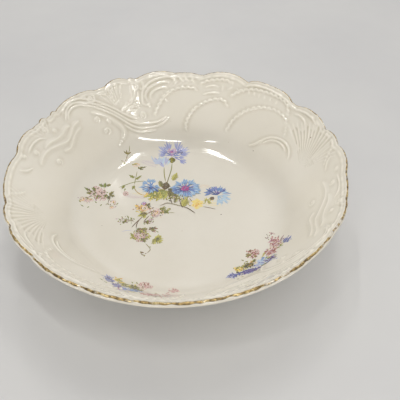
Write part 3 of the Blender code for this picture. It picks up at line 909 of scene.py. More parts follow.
def large_flowers(spray):
    spray.stem(((-5, 55), (-6, 46), (-9, 34), (-10, 28)), 0.9, LEAF, BROWN)
    spray.stem(((-12, 50), (-12, 42), (-11, 32)), 0.8, OLIVE)
    spray.spikes((-12, 47), 17.0, 9, 62.0, 118.0, 2.0, LAVENDER, LAVENDER, PALE_SKY, PERIWINKLE)
    spray.cornflower((-12, 50), ((-21, 60), (-17, 64)), LAVENDER, PALE_SKY, 1.8)
    spray.stroke(((-19, 56), (-22, 61), (-23, 65)), 1.2, LAVENDER, PALE_SKY)
    spray.cornflower((-5, 64), ((-18, 67), (-17, 74), (-10, 79)), PERIWINKLE, LAVENDER, 1.5)
    spray.cornflower((-4, 63), ((4, 80), (10, 74), (11, 67)), PERIWINKLE, LAVENDER, 1.5)
    spray.cornflower((-3, 62), ((7, 61), (9, 53)), PERIWINKLE, LAVENDER, 1.5)
    spray.cornflower((-5, 65), ((-14, 71), (6, 71)), DEEP_PERIWINKLE, PERIWINKLE, 1.2)
    spray.cornflower((-5, 63), ((-7, 73), (-2, 73)), ORCHID, MAUVE, 2.0)
    spray.filaments((-5, 67), 5.0, 8, 30.0, 150.0, VIOLET)
    spray.filaments((-5, 67), 3.4, 4, 50.0, 130.0, MAGENTA)
    spray.stroke(((3, 66), (5, 68.5)), 1.0, UMBER)
    spray.calyx((-5, 54.5), (-5, 62.5), 6.6, OLIVE, DARK_OLIVE)
    spray.stroke(((-6, 56), (-5.8, 61)), 1.8, LIME, OLIVE)

    ends = ((-31, 34), (-33, 27), (-29, 21), (-24, 19), (-18, 21), (-16, 27), (-20, 36), (-25, 37))
    spray.cornflower((-23, 28), ends, CORNFLOWER, SKY, 1.6)
    spray.spikes((-23, 28), 9.5, 13, 175.0, 350.0, 1.0, DEEP_BLUE, CORNFLOWER, SKY, PALE_SKY)
    spray.filaments((-23, 27), 4.5, 7, 200.0, 340.0, DEEP_BLUE)

    ends = (
        (-8, 25), (-6, 19), (-1, 15), (5, 13), (11, 13), (17, 16),
        (20, 21), (19, 27), (13, 33), (5, 35), (-3, 32),
    )
    spray.cornflower((5, 23), ends, CORNFLOWER, SKY, 1.9)
    spray.spikes((5, 23), 11.5, 20, 150.0, 385.0, 1.1, SKY, PALE_SKY, CORNFLOWER, LAVENDER)
    spray.cornflower((3, 22), ((-7, 22), (-4, 17)), DEEP_BLUE, CORNFLOWER, 1.7)
    spray.spikes((5, 23), 9.0, 12, 0.0, 360.0, 0.9, PERIWINKLE, VIOLET, DEEP_BLUE)
    spray.filaments((5, 23), 5.2, 14, 0.0, 360.0, VIOLET)
    spray.filaments((5, 23), 4.4, 20, 0.0, 360.0, MAGENTA)
    spray.dabs((5, 23), (2.2, 1.8), 10, 1.2, MAGENTA, ORCHID)

    spray.spikes((31, 13.5), 11.5, 18, -100.0, 40.0, 1.1, SKY, PALE_SKY, SKY, CORNFLOWER)
    spray.cornflower((31, 13), ((38, 6), (33, 3), (40, 12)), SKY, PALE_SKY, 1.5)
    ends = ((19, 18), (22, 22), (27, 25), (33, 24), (38, 22))
    spray.cornflower((31, 14), ends, DEEP_BLUE, CORNFLOWER, 1.5)
    spray.spikes((31, 14), 10.5, 14, 30.0, 165.0, 1.1, DEEP_BLUE, CORNFLOWER, PERIWINKLE)
    spray.filaments((31, 15), 4.2, 6, 20.0, 140.0, VIOLET)
    spray.calyx((25, 8.6), (27.6, 12.4), 4.6, BROWN, UMBER)

    for end in ((9, 3), (10.5, 9), (14, 11.5), (19, 8), (18.5, 2), (13, -1)):
        spray.stroke(((14, 5), end), 4.6, YELLOW, blend(YELLOW, IVORY, 0.35), belly=0.6, soft=0.35)
    spray.dabs((14, 5), (5.0, 4.6), 22, 1.8, YELLOW, AMBER, blend(YELLOW, IVORY, 0.5))
    spray.filaments((14, 5), 2.4, 6, 0.0, 360.0, AMBER)


def foliage(spray):
    tones = (OLIVE, LIME, LEAF, OLIVE, blend(LIME, IVORY, 0.4))
    places = (((-18, 17), (9, 4.5), 40), ((-8, 16), (6, 5), 26), ((0, 14), (6, 5), 26), ((5, 8), (4, 5), 16))
    spray.dab_groups(2.0, [(*place, tones) for place in places])
    spray.calyx((-12, 22.5), (-10, 32), 7.4, BROWN, DARK_OLIVE)
    spray.filaments((-10, 27), 3.8, 9, 0.0, 360.0, UMBER)
    leaves = (
        ((-12, 23), (-29, 15), 5.0, LIME, OLIVE),
        ((-13, 21), (-19, 10), 6.0, LIME, OLIVE),
        ((-11, 22), (-24, 20), 4.4, LEAF, OLIVE),
        ((-10, 22), (-13, 11), 5.0, LIME, LEAF),
        ((-8, 22), (-6, 12), 4.2, OLIVE, DARK_OLIVE),
        ((-7, 22), (1, 10), 5.0, OLIVE, DARK_OLIVE),
        ((-5, 21), (6, 14), 4.2, LEAF, DARK_OLIVE),
        ((-2, 14), (-4, 7), 3.4, OLIVE, DARK_OLIVE),
        ((2, 2.5), (6.5, 13), 6.0, LIME, OLIVE),
        ((-9, 24), (-3, 18), 3.6, DARK_OLIVE, UMBER),
        ((-14, 26), (-16, 34), 4.4, OLIVE, DARK_OLIVE),
        ((-5, 33), (-1, 43), 4.8, LIME, OLIVE),
        ((-15, 22), (-25, 12), 4.4, OLIVE, LEAF),
    )
    for base, tip, width, tone, shade in leaves:
        spray.leaf(base, tip, width, tone, shade)
    spray.dabs((-18, 16), (10, 5), 36, 1.7, LIME, blend(LIME, IVORY, 0.5), OLIVE, YELLOW, LEAF)
    spray.dabs((-2, 14), (8, 6), 34, 1.7, LIME, blend(LIME, IVORY, 0.5), OLIVE, MAUVE, DARK_OLIVE)
    spray.dabs((23, 7), (4, 3), 14, 1.5, YELLOW, OLIVE, LIME)
    spray.strokes_of(1.2, OLIVE, LIME, (
        ((20, 5), (22, 12)), ((24, 6), (21, 11)), ((23, 4), (24, 9)), ((19, 8), (25, 10)),
        ((22, 7), (26, 5)),
    ))
    for line in (
        ((-10, 21), (-7.5, 13), (-6, 6)),
        ((0, 11), (1, 5), (2.5, 1.5)),
        ((2, 3), (6, 1), (12, -5)),
        ((8, 12), (10.5, 7)),
        ((18, 2), (23, 0.5), (28.5, -1.6)),
        ((26, 24), (25, 20)),
    ):
        spray.stem(line, 0.65, BROWN, UMBER)
    spray.stem(((-16, 4.5), (-10, 7.5), (-5, 6), (2, 3)), 0.5, BROWN, OLIVE)
    spray.stem(((-37, 30), (-36, 24), (-32, 19), (-27, 17)), 0.7, OLIVE, AMBER)
    spray.stem(((-35, 46), (-36, 38), (-37, 30)), 0.6, OLIVE)
    spray.stem(((-50, 27), (-44, 30), (-37, 33), (-28, 34)), 0.6, LEAF, OLIVE)
    spray.leaves(2.4, OLIVE, (
        ((-37, 29), (-38.5, 24), LEAF), ((-45, 30), (-47, 25), LEAF), ((-37, 38), (-42, 42), LEAF),
        ((-36, 36), (-31, 41), LEAF),
    ))
    spray.stroke(((-25, 20), (-29, 15)), 2.0, AMBER, YELLOW)


def left_cluster(spray):
    spray.dabs((-66, 20), (8, 6), 44, 1.8, PINK, PALE_PINK, MAUVE, OLIVE, PINK)
    spray.dabs((-74, 12), (5, 3), 14, 1.5, PALE_PINK, LEAF, PINK, blend(OLIVE, IVORY, 0.4))
    spray.dabs((-54, 9), (5, 5), 14, 1.4, PALE_PINK, OLIVE, PINK, blend(BROWN, IVORY, 0.4))
    for centre, radius in (((-67, 25), 3.4), ((-63, 21), 3.4), ((-66, 17), 3.2), ((-61, 15), 2.4)):
        spray.blossom(centre, radius, PINK, ROSE, BROWN)
    spray.leaves(3.0, DARK_OLIVE, (
        ((-70, 21), (-77, 24), LEAF), ((-71, 20), (-75, 19), OLIVE), ((-69, 22), (-70, 27), LEAF),
        ((-61, 27), (-61, 33), LEAF), ((-60, 29), (-56, 31), OLIVE), ((-62, 28), (-66, 31), LEAF),
        ((-57, 19), (-52, 17), OLIVE), ((-57, 19), (-53, 23), OLIVE), ((-58, 18), (-56, 13.5), DARK_OLIVE),
        ((-59, 20), (-60, 16), OLIVE), ((-64, 19), (-67, 15), OLIVE),
    ))
    spray.dabs((-64, 20), (8, 6), 26, 1.3, ROSE, BROWN, PINK, LEAF, DARK_OLIVE)
    for centre, radius in (((-76, 12), 2.6), ((-71, 13), 2.2), ((-53, 11), 2.2), ((-54, 5), 2.0)):
        spray.blossom(centre, radius, PALE_PINK, blend(OLIVE, PINK, 0.5), AMBER)
    spray.dabs((-65, 21), (9, 6), 46, 1.4, OLIVE, BROWN, MAUVE, DARK_OLIVE, PINK, LEAF)
    spray.dabs((-75, 12), (5, 3), 18, 1.3, OLIVE, PINK, AMBER, MAUVE)
    spray.dabs((-54, 9), (5, 5), 18, 1.2, OLIVE, PALE_PINK, BROWN, MAUVE)
    spray.buds(1.1, LEAF, DARK_OLIVE, (
        ((-78, 6), (-75.5, 4.6)), ((-73, 4), (-71.5, 5.8)), ((-58.5, 9.6), (-56, 8)),
        ((-50.5, 8), (-49, 10)), ((-79.5, 10), (-78, 8)), ((-68, 12), (-66, 10)), ((-62, 9), (-63, 6.5)),
    ))
    spray.stem(((-56, 18), (-57, 12), (-57, 8)), 0.4, BROWN)
    spray.stem(((-70, 19), (-73, 15), (-76, 13)), 0.4, BROWN)
    spray.blossom((-43.5, 20), 2.8, PINK, ROSE, BROWN)
    spray.bud((-45, 23), (-44, 26), 1.4, LEAF, OLIVE)
    # the twigs that climb the back left of the bend
    spray.blossom((-36, 54), 2.8, PALE_PINK, AMBER, OLIVE)
    spray.leaf((-40, 54), (-34.5, 55.5), 1.6, LIME, OLIVE)
    spray.trefoil((-33, 48.5), (-30.5, 52), OLIVE, DARK_OLIVE)
    spray.leaf((-31, 50), (-27, 51.5), 1.5, OLIVE, DARK_OLIVE)
    spray.trefoil((-45, 56), (-49, 58), LEAF, MAUVE)
    spray.bud((-44.5, 60), (-44, 62.5), 1.2, PINK, ROSE)
    for end in ((-47, 66.5), (-44.5, 68), (-40.5, 67)):
        spray.leaf((-44, 64.5), end, 1.4, OLIVE, BROWN)
    spray.stem(((-42, 72), (-42, 68), (-44, 63), (-45, 57)), 0.4, OLIVE)


def hanging_branch(spray):
    spray.dab_groups(1.6, (
        ((-30, 4), (7, 5), 36, (AMBER, YELLOW, PINK, PALE_PINK, OLIVE)),
        ((-19, -2), (6, 4), 26, (PINK, PALE_PINK, MAUVE, OLIVE)),
        ((-12, 0), (4, 3), 12, (LEAF, OLIVE, LIME)),
        ((-31, -25), (6, 6), 44, (OLIVE, MAUVE, PINK, LIME, PINK)),
        ((-17, -30), (3, 3), 12, (LIME, OLIVE, LEAF)),
        ((-43, -9), (5, 4), 14, (LEAF, OLIVE, PALE_PINK, MAUVE)),
        ((-24, -11), (4, 3), 10, (LEAF, OLIVE, MAUVE)),
        ((-28, -43), (3, 2), 6, (OLIVE, BROWN)),
    ))
    for line in (
        ((-26, -3), (-31, -8), (-33.5, -13), (-34, -18)),
        ((-24, -5), (-27, -9), (-28.5, -12)),
        ((-32, -9), (-35, -13), (-37.5, -17)),
        ((-26, -3), (-22, -1), (-17, -1)),
    ):
        spray.stem(line, 0.75, BROWN, UMBER)
    for end in ((-36, 7), (-34, 2), (-30, 1), (-29, 6)):
        spray.stroke(((-32, 4), end), 2.8, AMBER, YELLOW, belly=0.6)
    spray.blossom((-28, 3), 3.2, PALE_PINK, AMBER, OLIVE)
    spray.blossom((-28.5, 8), 2.4, ORCHID, VIOLET, MAGENTA)
    spray.trefoil((-26, 5), (-23.5, 8.6), DARK_OLIVE, UMBER)
    spray.bud((-22.6, 2), (-20.6, 3.6), 1.2, BROWN, UMBER)
    spray.trefoil((-27.5, -3), (-33.5, -5.5), LIME, OLIVE)
    spray.trefoil((-28.5, -2), (-28.5, -6.5), OLIVE, DARK_OLIVE)
    spray.bud((-30, -2), (-26.5, -2.6), 2.0, BROWN, UMBER)
    spray.blossom((-18.5, -2.5), 3.0, PALE_PINK, ROSE, AMBER)
    spray.blossom((-20, -5.5), 1.8, PINK, ROSE, BROWN)
    spray.leaf((-16.5, 1.5), (-11.5, 1.8), 3.6, OLIVE, DARK_OLIVE)
    spray.leaf((-14, 0.5), (-8.6, -3.6), 3.4, LEAF, DARK_OLIVE)
    spray.leaf((-13.5, 1), (-14, -3), 2.4, OLIVE, BROWN)
    spray.stem(((-9, -3), (-6.5, -3), (-4, -3.6)), 0.45, OLIVE)
    spray.buds(1.1, LEAF, DARK_OLIVE, (
        ((-48, -7), (-46, -9)), ((-47, -9.6), (-45.4, -10)), ((-41.5, -4), (-40, -7)),
        ((-38.6, -6), (-37.4, -8.6)), ((-36.4, -7), (-35.6, -9)), ((-23.6, -10), (-22.4, -12)),
        ((-21.6, -10.4), (-20.6, -11.4)), ((-28.6, -13), (-27, -14)), ((-19, -21.4), (-16.8, -22.6)),
        ((-18.8, -18), (-17.4, -19.4)),
    ))
    spray.trefoil((-43.5, -9.6), (-40.5, -12), OLIVE, DARK_OLIVE)
    spray.trefoil((-26, -10.5), (-25.4, -14.4), OLIVE, DARK_OLIVE)
    spray.stem(((-41, -10), (-38, -9), (-35.5, -11)), 0.4, BROWN)
    spray.stem(((-28.5, -12), (-26, -12), (-22, -11)), 0.4, BROWN)
    for centre, radius in (((-33.5, -25), 3.0), ((-30.5, -28.5), 3.2), ((-27, -25.5), 2.6)):
        spray.blossom(centre, radius, blend(MAUVE, PINK, 0.5), ROSE, BROWN)
    spray.trefoil((-30, -18), (-30.5, -23.5), OLIVE, DARK_OLIVE)
    spray.trefoil((-29, -19), (-26, -23), OLIVE, DARK_OLIVE)
    spray.leaf((-31, -19), (-34.5, -22), 2.6, OLIVE, DARK_OLIVE)
    spray.trefoil((-35, -26), (-38.5, -28), LIME, OLIVE)
    spray.leaf((-36, -25), (-37.5, -23), 2.0, LEAF, OLIVE)
    spray.trefoil((-28, -28), (-27, -32.5), OLIVE, DARK_OLIVE)
    spray.trefoil((-25, -26), (-23.5, -29), LIME, OLIVE)
    spray.trefoil((-21.5, -17.5), (-21, -22.4), BROWN, DARK_OLIVE)
    spray.trefoil((-20, -28.5), (-14, -33), LIME, OLIVE)
    spray.leaf((-19, -28.5), (-15, -29.5), 2.6, OLIVE, DARK_OLIVE)
    spray.dab_groups(1.2, (
        ((-29, 4), (7, 4), 30, (ROSE, BROWN, AMBER, DARK_OLIVE, OLIVE)),
        ((-18, -3), (6, 4), 30, (ROSE, BROWN, DARK_OLIVE, PALE_PINK, OLIVE, AMBER)),
        ((-11, 0), (4, 3), 12, (LEAF, OLIVE, LIME)),
        ((-31, -24), (7, 6), 50, (ROSE, BROWN, DARK_OLIVE, OLIVE, LIME, MAUVE)),
        ((-21, -20), (3, 2.5), 18, (BROWN, OLIVE, ROSE, DARK_OLIVE)),
        ((-17, -31), (4, 2.5), 12, (LIME, OLIVE, DARK_OLIVE)),
        ((-43, -9), (6, 4), 16, (OLIVE, BROWN, MAUVE, LEAF)),
        ((-24, -12), (4, 2.5), 12, (OLIVE, MAUVE, BROWN)),
    ), DENSER)
    spray.stem(((-45, -20.5), (-41, -19.6), (-37, -19.5)), 0.35, LAVENDER)
    spray.stem(((-26.5, -33), (-24.5, -36), (-23, -39), (-25.5, -42.5)), 0.5, OLIVE, BROWN)
    spray.bud((-30.5, -40.5), (-27.4, -42), 1.3, BROWN, UMBER)
    spray.bud((-28, -43), (-27, -45.4), 0.8, OLIVE, BROWN)
    spray.bud((-24, -36), (-22.4, -37), 0.9, LEAF, OLIVE)


def paint_left(spray):
    """The small spray at the front left, on the bend."""
    spray.dab_groups(1.5, (
        ((-50, -69), (2.5, 4), 16, (DEEP_PERIWINKLE, LAVENDER, PERIWINKLE)),
        ((-43, -80), (4, 3.5), 24, (VIOLET, PERIWINKLE, LAVENDER)),
        ((-33, -83), (5, 2.5), 26, (CORNFLOWER, DEEP_BLUE, SKY)),
        ((-44, -69), (3, 2.5), 14, (YELLOW, LIME, AMBER)),
        ((-37, -75), (7, 3), 40, (OLIVE, LIME, DARK_OLIVE, YELLOW, OLIVE)),
        ((-26, -73), (4.5, 3.5), 30, (ROSE, PINK, BROWN, PALE_PINK, ROSE)),
        ((-19, -89), (9, 3.5), 40, (ROSE, PINK, MAUVE, PALE_PINK)),
        ((-14, -92), (6, 3), 16, (ROSE, BROWN, MAUVE)),
        ((-7, -79), (4, 3), 14, (PINK, ROSE)),
        ((-37, -89), (5, 2), 12, (MAUVE, LAVENDER, LIME)),
    ))
    spray.strokes_of(1.6, LAVENDER, DEEP_PERIWINKLE, (
        ((-52, -64), (-50, -70)), ((-50, -65), (-49, -72)), ((-48, -67), (-48, -73)),
        ((-53, -67), (-50, -73)),
    ))
    spray.cornflower((-46, -76), ((-51, -70), (-47, -70), (-50, -75)), DEEP_PERIWINKLE, PERIWINKLE, 1.6)
    spray.cornflower((-37, -83), ((-47, -77), (-44, -80), (-45, -85)), VIOLET, PERIWINKLE, 2.0)
    spray.cornflower((-36, -82), ((-41, -84), (-38, -87), (-33, -86)), LAVENDER, PERIWINKLE, 2.0)
    spray.cornflower((-35, -83), ((-28, -81), (-29, -85), (-31, -80)), CORNFLOWER, DEEP_BLUE, 2.4)
    spray.leaves(2.4, DARK_OLIVE, (
        ((-46, -70), (-42, -66), YELLOW), ((-45, -71), (-41, -69), LIME), ((-43, -73), (-38, -72), LIME),
        ((-41, -75), (-36, -73), OLIVE), ((-39, -77), (-33, -76), OLIVE), ((-36, -79), (-29, -78), LIME),
        ((-34, -79), (-29, -75.5), OLIVE), ((-31, -80), (-26, -80), LEAF),
    ))
    spray.buds(1.0, LEAF, DARK_OLIVE, (
        ((-54, -75), (-51.5, -77)), ((-51, -78), (-48.5, -80)), ((-35, -69), (-34, -71)),
        ((-32, -69), (-31, -71)),
    ))
    spray.blossom((-27, -72.5), 4.0, PALE_PINK, ROSE, UMBER)
    spray.blossom((-23, -74), 2.6, PINK, ROSE, BROWN)
    spray.blossom((-27, -76.5), 2.4, PALE_PINK, ROSE, OLIVE)
    spray.strokes_of(1.7, ROSE, PINK, (
        ((-28, -86), (-24, -89), (-19, -90)), ((-24, -85), (-20, -88), (-14, -88)),
        ((-19, -84), (-15, -88)), ((-14, -84), (-12, -89)), ((-12, -82), (-8, -86)),
    ))
    spray.strokes_of(0.8, BROWN, MAUVE, (
        ((-22, -90), (-15, -92)), ((-14, -90), (-8, -91)), ((-12, -87), (-6, -87)),
    ))
    spray.strokes_of(0.9, LEAF, OLIVE, (
        ((-20, -92), (-17, -93)), ((-17, -91), (-14, -93)), ((-19, -82), (-17, -84)),
    ))
    for end in ((-5, -77), (-8, -81), (-3, -79)):
        spray.stroke(((-7, -79), end), 1.6, PINK, ROSE)
    spray.stroke(((-43, -84), (-38, -90)), 0.7, MAGENTA, PINK)
    spray.stroke(((-38, -88), (-34, -91)), 0.8, LEAF, OLIVE)
    spray.stroke(((-36, -87), (-29, -89)), 1.0, LIME, OLIVE)
    spray.dab_groups(1.5, (
        ((-50, -70), (2.5, 4), 16, (DEEP_PERIWINKLE, INDIGO, PERIWINKLE)),
        ((-43, -79), (4.5, 3), 26, (VIOLET, INDIGO, PERIWINKLE)),
        ((-33, -83), (5.5, 2), 26, (CORNFLOWER, DEEP_BLUE, SKY)),
        ((-43, -71), (3, 2.5), 12, (YELLOW, OLIVE, AMBER)),
        ((-36, -76), (7, 2.5), 34, (OLIVE, DARK_OLIVE, OLIVE, UMBER, LIME)),
        ((-26, -73), (4, 3), 30, (ROSE, RUSSET, BROWN, PINK)),
        ((-18, -88), (9, 3), 40, (ROSE, RUSSET, PINK, MAUVE)),
        ((-7, -79), (4, 2.5), 12, (ROSE, PINK)),
    ))


def paint_right(spray):
    """The small spray at the front right, on the bend."""
    spray.dab_groups(1.5, (
        ((34, -68), (3, 2.5), 14, (DEEP_PERIWINKLE, LAVENDER, PERIWINKLE)),
        ((45, -67), (7, 2.5), 44, (VIOLET, DEEP_PERIWINKLE, PERIWINKLE)),
        ((55, -63), (5, 3), 30, (LAVENDER, PALE_SKY, PERIWINKLE, SKY)),
        ((40, -62), (4, 2), 20, (YELLOW, OLIVE, LIME)),
        ((46, -59), (5, 3), 34, (OLIVE, AMBER, DARK_OLIVE, LIME)),
        ((57, -57), (3, 2.5), 16, (SKY, PALE_SKY, CORNFLOWER)),
        ((62, -62), (4, 3), 22, (VIOLET, ORCHID, PERIWINKLE)),
        ((51, -48), (4.5, 4), 38, (ROSE, PINK, BROWN, OLIVE, ROSE)),
        ((64, -51), (5, 5), 42, (ROSE, PINK, MAUVE, PALE_PINK)),
        ((69, -43), (4, 6), 32, (ROSE, BROWN, PINK, MAUVE)),
        ((66, -34), (3, 4), 12, (ROSE, BROWN)),
        ((75, -46), (2, 4), 16, (DEEP_PERIWINKLE, PERIWINKLE, DEEP_BLUE)),
        ((69, -49), (3, 2), 8, (OLIVE, LEAF)),
        ((61, -58), (4, 2), 12, (LEAF, LIME, PALE_SKY)),
    ))
    spray.strokes_of(1.6, LAVENDER, DEEP_PERIWINKLE, (
        ((32, -66), (37, -69)), ((32, -68), (36, -70)), ((35, -66), (40, -69)), ((34, -69), (35, -72)),
    ))
    spray.cornflower((49, -67), ((41, -66), (42, -69), (46, -70)), VIOLET, PERIWINKLE, 2.2)
    spray.cornflower((49, -66), ((44, -65), (50, -70), (54, -67)), DEEP_PERIWINKLE, VIOLET, 1.9)
    spray.cornflower((51, -64), ((56, -60), (53, -60), (57, -56)), LAVENDER, PALE_SKY, 2.0)
    spray.stroke(((55, -59), (58, -55)), 2.6, SKY, PERIWINKLE)
    spray.stroke(((56, -66), (62, -61)), 1.6, VIOLET, DEEP_PERIWINKLE)
    spray.stroke(((60, -63), (65, -58)), 1.4, ORCHID, PERIWINKLE)
    spray.leaves(2.2, DARK_OLIVE, (
        ((40, -63), (36, -61), YELLOW), ((41, -63), (37, -64), YELLOW), ((40, -61), (44, -60), LIME),
        ((42, -61), (48, -59), OLIVE), ((45, -62), (49, -58), DARK_OLIVE), ((47, -59), (51, -55), AMBER),
        ((50, -58), (52, -54), OLIVE), ((57, -63), (60, -60), LEAF), ((59, -59), (63, -57), LIME),
        ((54, -66), (58, -64), LEAF), ((37, -66), (39, -65), DARK_OLIVE),
    ))
    spray.buds(1.0, OLIVE, UMBER, (
        ((36, -73), (38, -74)), ((39, -71.6), (41.4, -72.4)), ((42, -53), (44, -54.4)),
        ((45, -55), (46.4, -56)),
    ))
    spray.blossom((50.5, -49), 4.0, PALE_PINK, ROSE, UMBER)
    spray.blossom((54, -47), 2.6, PINK, ROSE, BROWN)
    spray.trefoil((48, -50.5), (46.5, -47.5), OLIVE, BROWN)
    spray.leaf((49.5, -47), (50, -44), 1.8, DARK_OLIVE, BROWN)
    spray.strokes_of(1.6, ROSE, PINK, (
        ((61, -55), (64, -52), (68, -51)), ((60, -54), (63, -50)), ((64, -53), (68, -49)),
        ((63, -48), (66, -45)), ((66, -49), (68, -45)), ((65, -45), (69, -42)), ((68, -44), (71, -40)),
        ((64, -41), (66, -38)), ((66, -38), (68, -35)),
    ))
    spray.blossom((66.5, -46.5), 2.6, PALE_PINK, ROSE, BROWN)
    spray.strokes_of(1.0, BROWN, MAUVE, (
        ((71, -43), (75, -38)), ((70, -40), (72, -36)), ((63, -36), (65, -34)), ((67, -33), (68, -30)),
    ))
    spray.strokes_of(1.0, LIME, OLIVE, (
        ((69, -47), (72, -45)), ((70, -49), (73, -47)), ((57, -52), (63, -47)), ((56, -55), (60, -50)),
    ))
    spray.strokes_of(1.5, DEEP_PERIWINKLE, PERIWINKLE, (
        ((73, -49), (76, -43)), ((74, -50), (77, -45)), ((72, -47), (75, -43)),
    ))
    spray.dab_groups(1.5, (
        ((35, -68), (4, 2), 18, (DEEP_PERIWINKLE, INDIGO, PERIWINKLE)),
        ((46, -67), (7, 2), 40, (VIOLET, INDIGO, DEEP_PERIWINKLE)),
        ((56, -62), (5, 2.5), 22, (LAVENDER, PALE_SKY, PERIWINKLE, SKY)),
        ((62, -61), (4, 2), 16, (VIOLET, INDIGO, ORCHID)),
        ((39, -62), (3.5, 2), 20, (YELLOW, AMBER, OLIVE)),
        ((46, -60), (5, 2.5), 34, (OLIVE, DARK_OLIVE, AMBER, UMBER)),
        ((51, -49), (4, 3.5), 38, (ROSE, RUSSET, BROWN, PINK, OLIVE)),
        ((63, -52), (4, 4), 34, (ROSE, RUSSET, PINK, MAUVE)),
        ((68, -43), (3.5, 6), 34, (ROSE, RUSSET, PINK, MAUVE)),
    ), DENSER)


# ---------------------------------------------------------------- materials


def set_inputs(node, **values):
    for name, value in values.items():
        node.inputs[name.replace("_", " ")].default_value = value
    return node


class Shader:
    """A Principled material and short ways to wire noise into it."""

    def __init__(self, name, **values):
        self.material = bpy.data.materials.new(name)
        self.material.use_nodes = True
        self.nodes = self.material.node_tree.nodes
        self.links = self.material.node_tree.links
        self.surface = set_inputs(self.nodes["Principled BSDF"], **values)
        self.place = self.nodes.new("ShaderNodeTexCoord").outputs["Object"]

    def noise(self, scale, detail=3.0, roughness=0.5, stretch=None):
        node = self.nodes.new("ShaderNodeTexNoise")
        set_inputs(node, Scale=scale, Detail=detail, Roughness=roughness)
        place = self.place
        if stretch:
            mapping = self.nodes.new("ShaderNodeMapping")
            mapping.inputs["Scale"].default_value = stretch
            self.links.new(place, mapping.inputs["Vector"])
            place = mapping.outputs["Vector"]
        self.links.new(place, node.inputs["Vector"])
        return node.outputs["Fac"]

    def ramp(self, value, *stops):
        """Colour or grey by a value; stops are (place, colour) or (place, grey)."""
        node = self.nodes.new("ShaderNodeValToRGB")
        ramp = node.color_ramp
        while len(ramp.elements) < len(stops):
            ramp.elements.new(0.5)
        for element, (place, colour) in zip(ramp.elements, stops):
            element.position = place
            element.color = (*colour, 1.0) if isinstance(colour, tuple) else (colour, colour, colour, 1.0)
        self.links.new(value, node.inputs["Fac"])
        return node.outputs["Color"]

    def mix(self, factor, one, other, mode="MIX"):
        node = self.nodes.new("ShaderNodeMix")
        node.data_type = "RGBA"
        node.blend_type = mode
        for socket, value in ((node.inputs[0], factor), (node.inputs[6], one), (node.inputs[7], other)):
            if isinstance(value, bpy.types.NodeSocket):
                self.links.new(value, socket)
            elif isinstance(value, tuple):
                socket.default_value = (*value, 1.0)
            else:
                socket.default_value = value
        return node.outputs[2]

    def math(self, operation, one, other):
        node = self.nodes.new("ShaderNodeMath")
        node.operation = operation
        for socket, value in zip(node.inputs, (one, other)):
            if isinstance(value, bpy.types.NodeSocket):
                self.links.new(value, socket)
            else:
                socket.default_value = value
        return node.outputs[0]

    def paint_layer(self):
        node = self.nodes.new("ShaderNodeVertexColor")
        node.layer_name = "paint"
        return node.outputs["Color"]

    def bump(self, height, distance, strength=1.0, under=None):
        node = set_inputs(self.nodes.new("ShaderNodeBump"), Distance=distance, Strength=strength)
        self.links.new(height, node.inputs["Height"])
        if under is not None:
            self.links.new(under, node.inputs["Normal"])
        return node.outputs["Normal"]

    def wire(self, **sockets):
        for name, output in sockets.items():
            self.links.new(output, self.surface.inputs[name.replace("_", " ")])
        return self.material

    def near_point(self, point, radius):
        """1 within a radius of a point, falling to 0 at its edge."""
        node = self.nodes.new("ShaderNodeVectorMath")
        node.operation = "DISTANCE"
        self.links.new(self.place, node.inputs[0])
        node.inputs[1].default_value = point
        spread = self.nodes.new("ShaderNodeMapRange")
        set_inputs(spread, From_Min=0.6 * radius, From_Max=radius, To_Min=1.0, To_Max=0.0)
        self.links.new(node.outputs["Value"], spread.inputs["Value"])
        return spread.outputs["Result"]


PALE_IVORY = (0.775, 0.742, 0.668)
WHITE = (1.0, 1.0, 1.0)
GREY_GLAZE = (0.735, 0.698, 0.615)
SPECK_BROWN, FAINT_BROWN = (0.13, 0.08, 0.05), (0.42, 0.33, 0.22)
SPECKS = (  # iron specks in the glaze: place in plan and radius
    (32.0, -7.5, 0.55), (12.0, -85.0, 0.35), (-60.0, -14.0, 0.3), (105.4, 33.2, 0.6), (65.3, 55.2, 0.45),
)


def glaze(name, relief):
    """Old ivory porcelain under clear glaze: faint mottling, painted shade in the relief's hollows and round
    the lip, painted highlight on its crests, tiny iron specks, fine wear and glaze ripple.
    """
    shader = Shader(name, IOR=1.7)
    cloud = shader.noise(24.0, 4.0)
    colour = shader.ramp(cloud, (0.3, GREY_GLAZE), (0.7, PALE_IVORY))
    grain = shader.ramp(shader.noise(900.0, 2.0), (0.0, (0.97, 0.965, 0.955)), (1.0, WHITE))
    colour = shader.mix(1.0, colour, grain, "MULTIPLY")
    # darker in the relief's hollows and lighter on its crests: painted shade and painted highlight, with
    # glaze pooling in the hollows as well; the lip's painted shade comes through the same layer
    depths = shader.paint_layer()
    hollow_shade_and_crest_highlight = shader.ramp(depths, (0.15, (0.80, 0.775, 0.72)), (0.5, WHITE), (0.85, (1.10, 1.10, 1.10)))
    colour = shader.mix(1.0, colour, hollow_shade_and_crest_highlight, "MULTIPLY")
    for x, y, radius in SPECKS:
        direction = np.array(math.degrees(math.atan2(y, x)))
        point = inside_points(direction, depth_of_radius(math.hypot(x, y)), 0.0, relief)
        colour = shader.mix(shader.near_point(tuple(point), radius * MM), colour, SPECK_BROWN)
    iron = shader.ramp(shader.noise(520.0, 1.0), (0.80, 0.0), (0.84, 0.55))
    colour = shader.mix(iron, colour, FAINT_BROWN)
    scratches = shader.ramp(shader.noise(160.0, 6.0, 0.7, (1.0, 9.0, 1.0)), (0.62, 0.0), (0.72, 1.0))
    rough = shader.ramp(shader.noise(60.0, 5.0), (0.35, 0.05), (0.75, 0.11))
    rough = shader.mix(scratches, rough, (0.19, 0.19, 0.19))
    ripple = shader.bump(shader.noise(210.0, 2.0), 0.00003, 0.5)
    return shader.wire(Base_Color=colour, Roughness=rough, Normal=ripple)


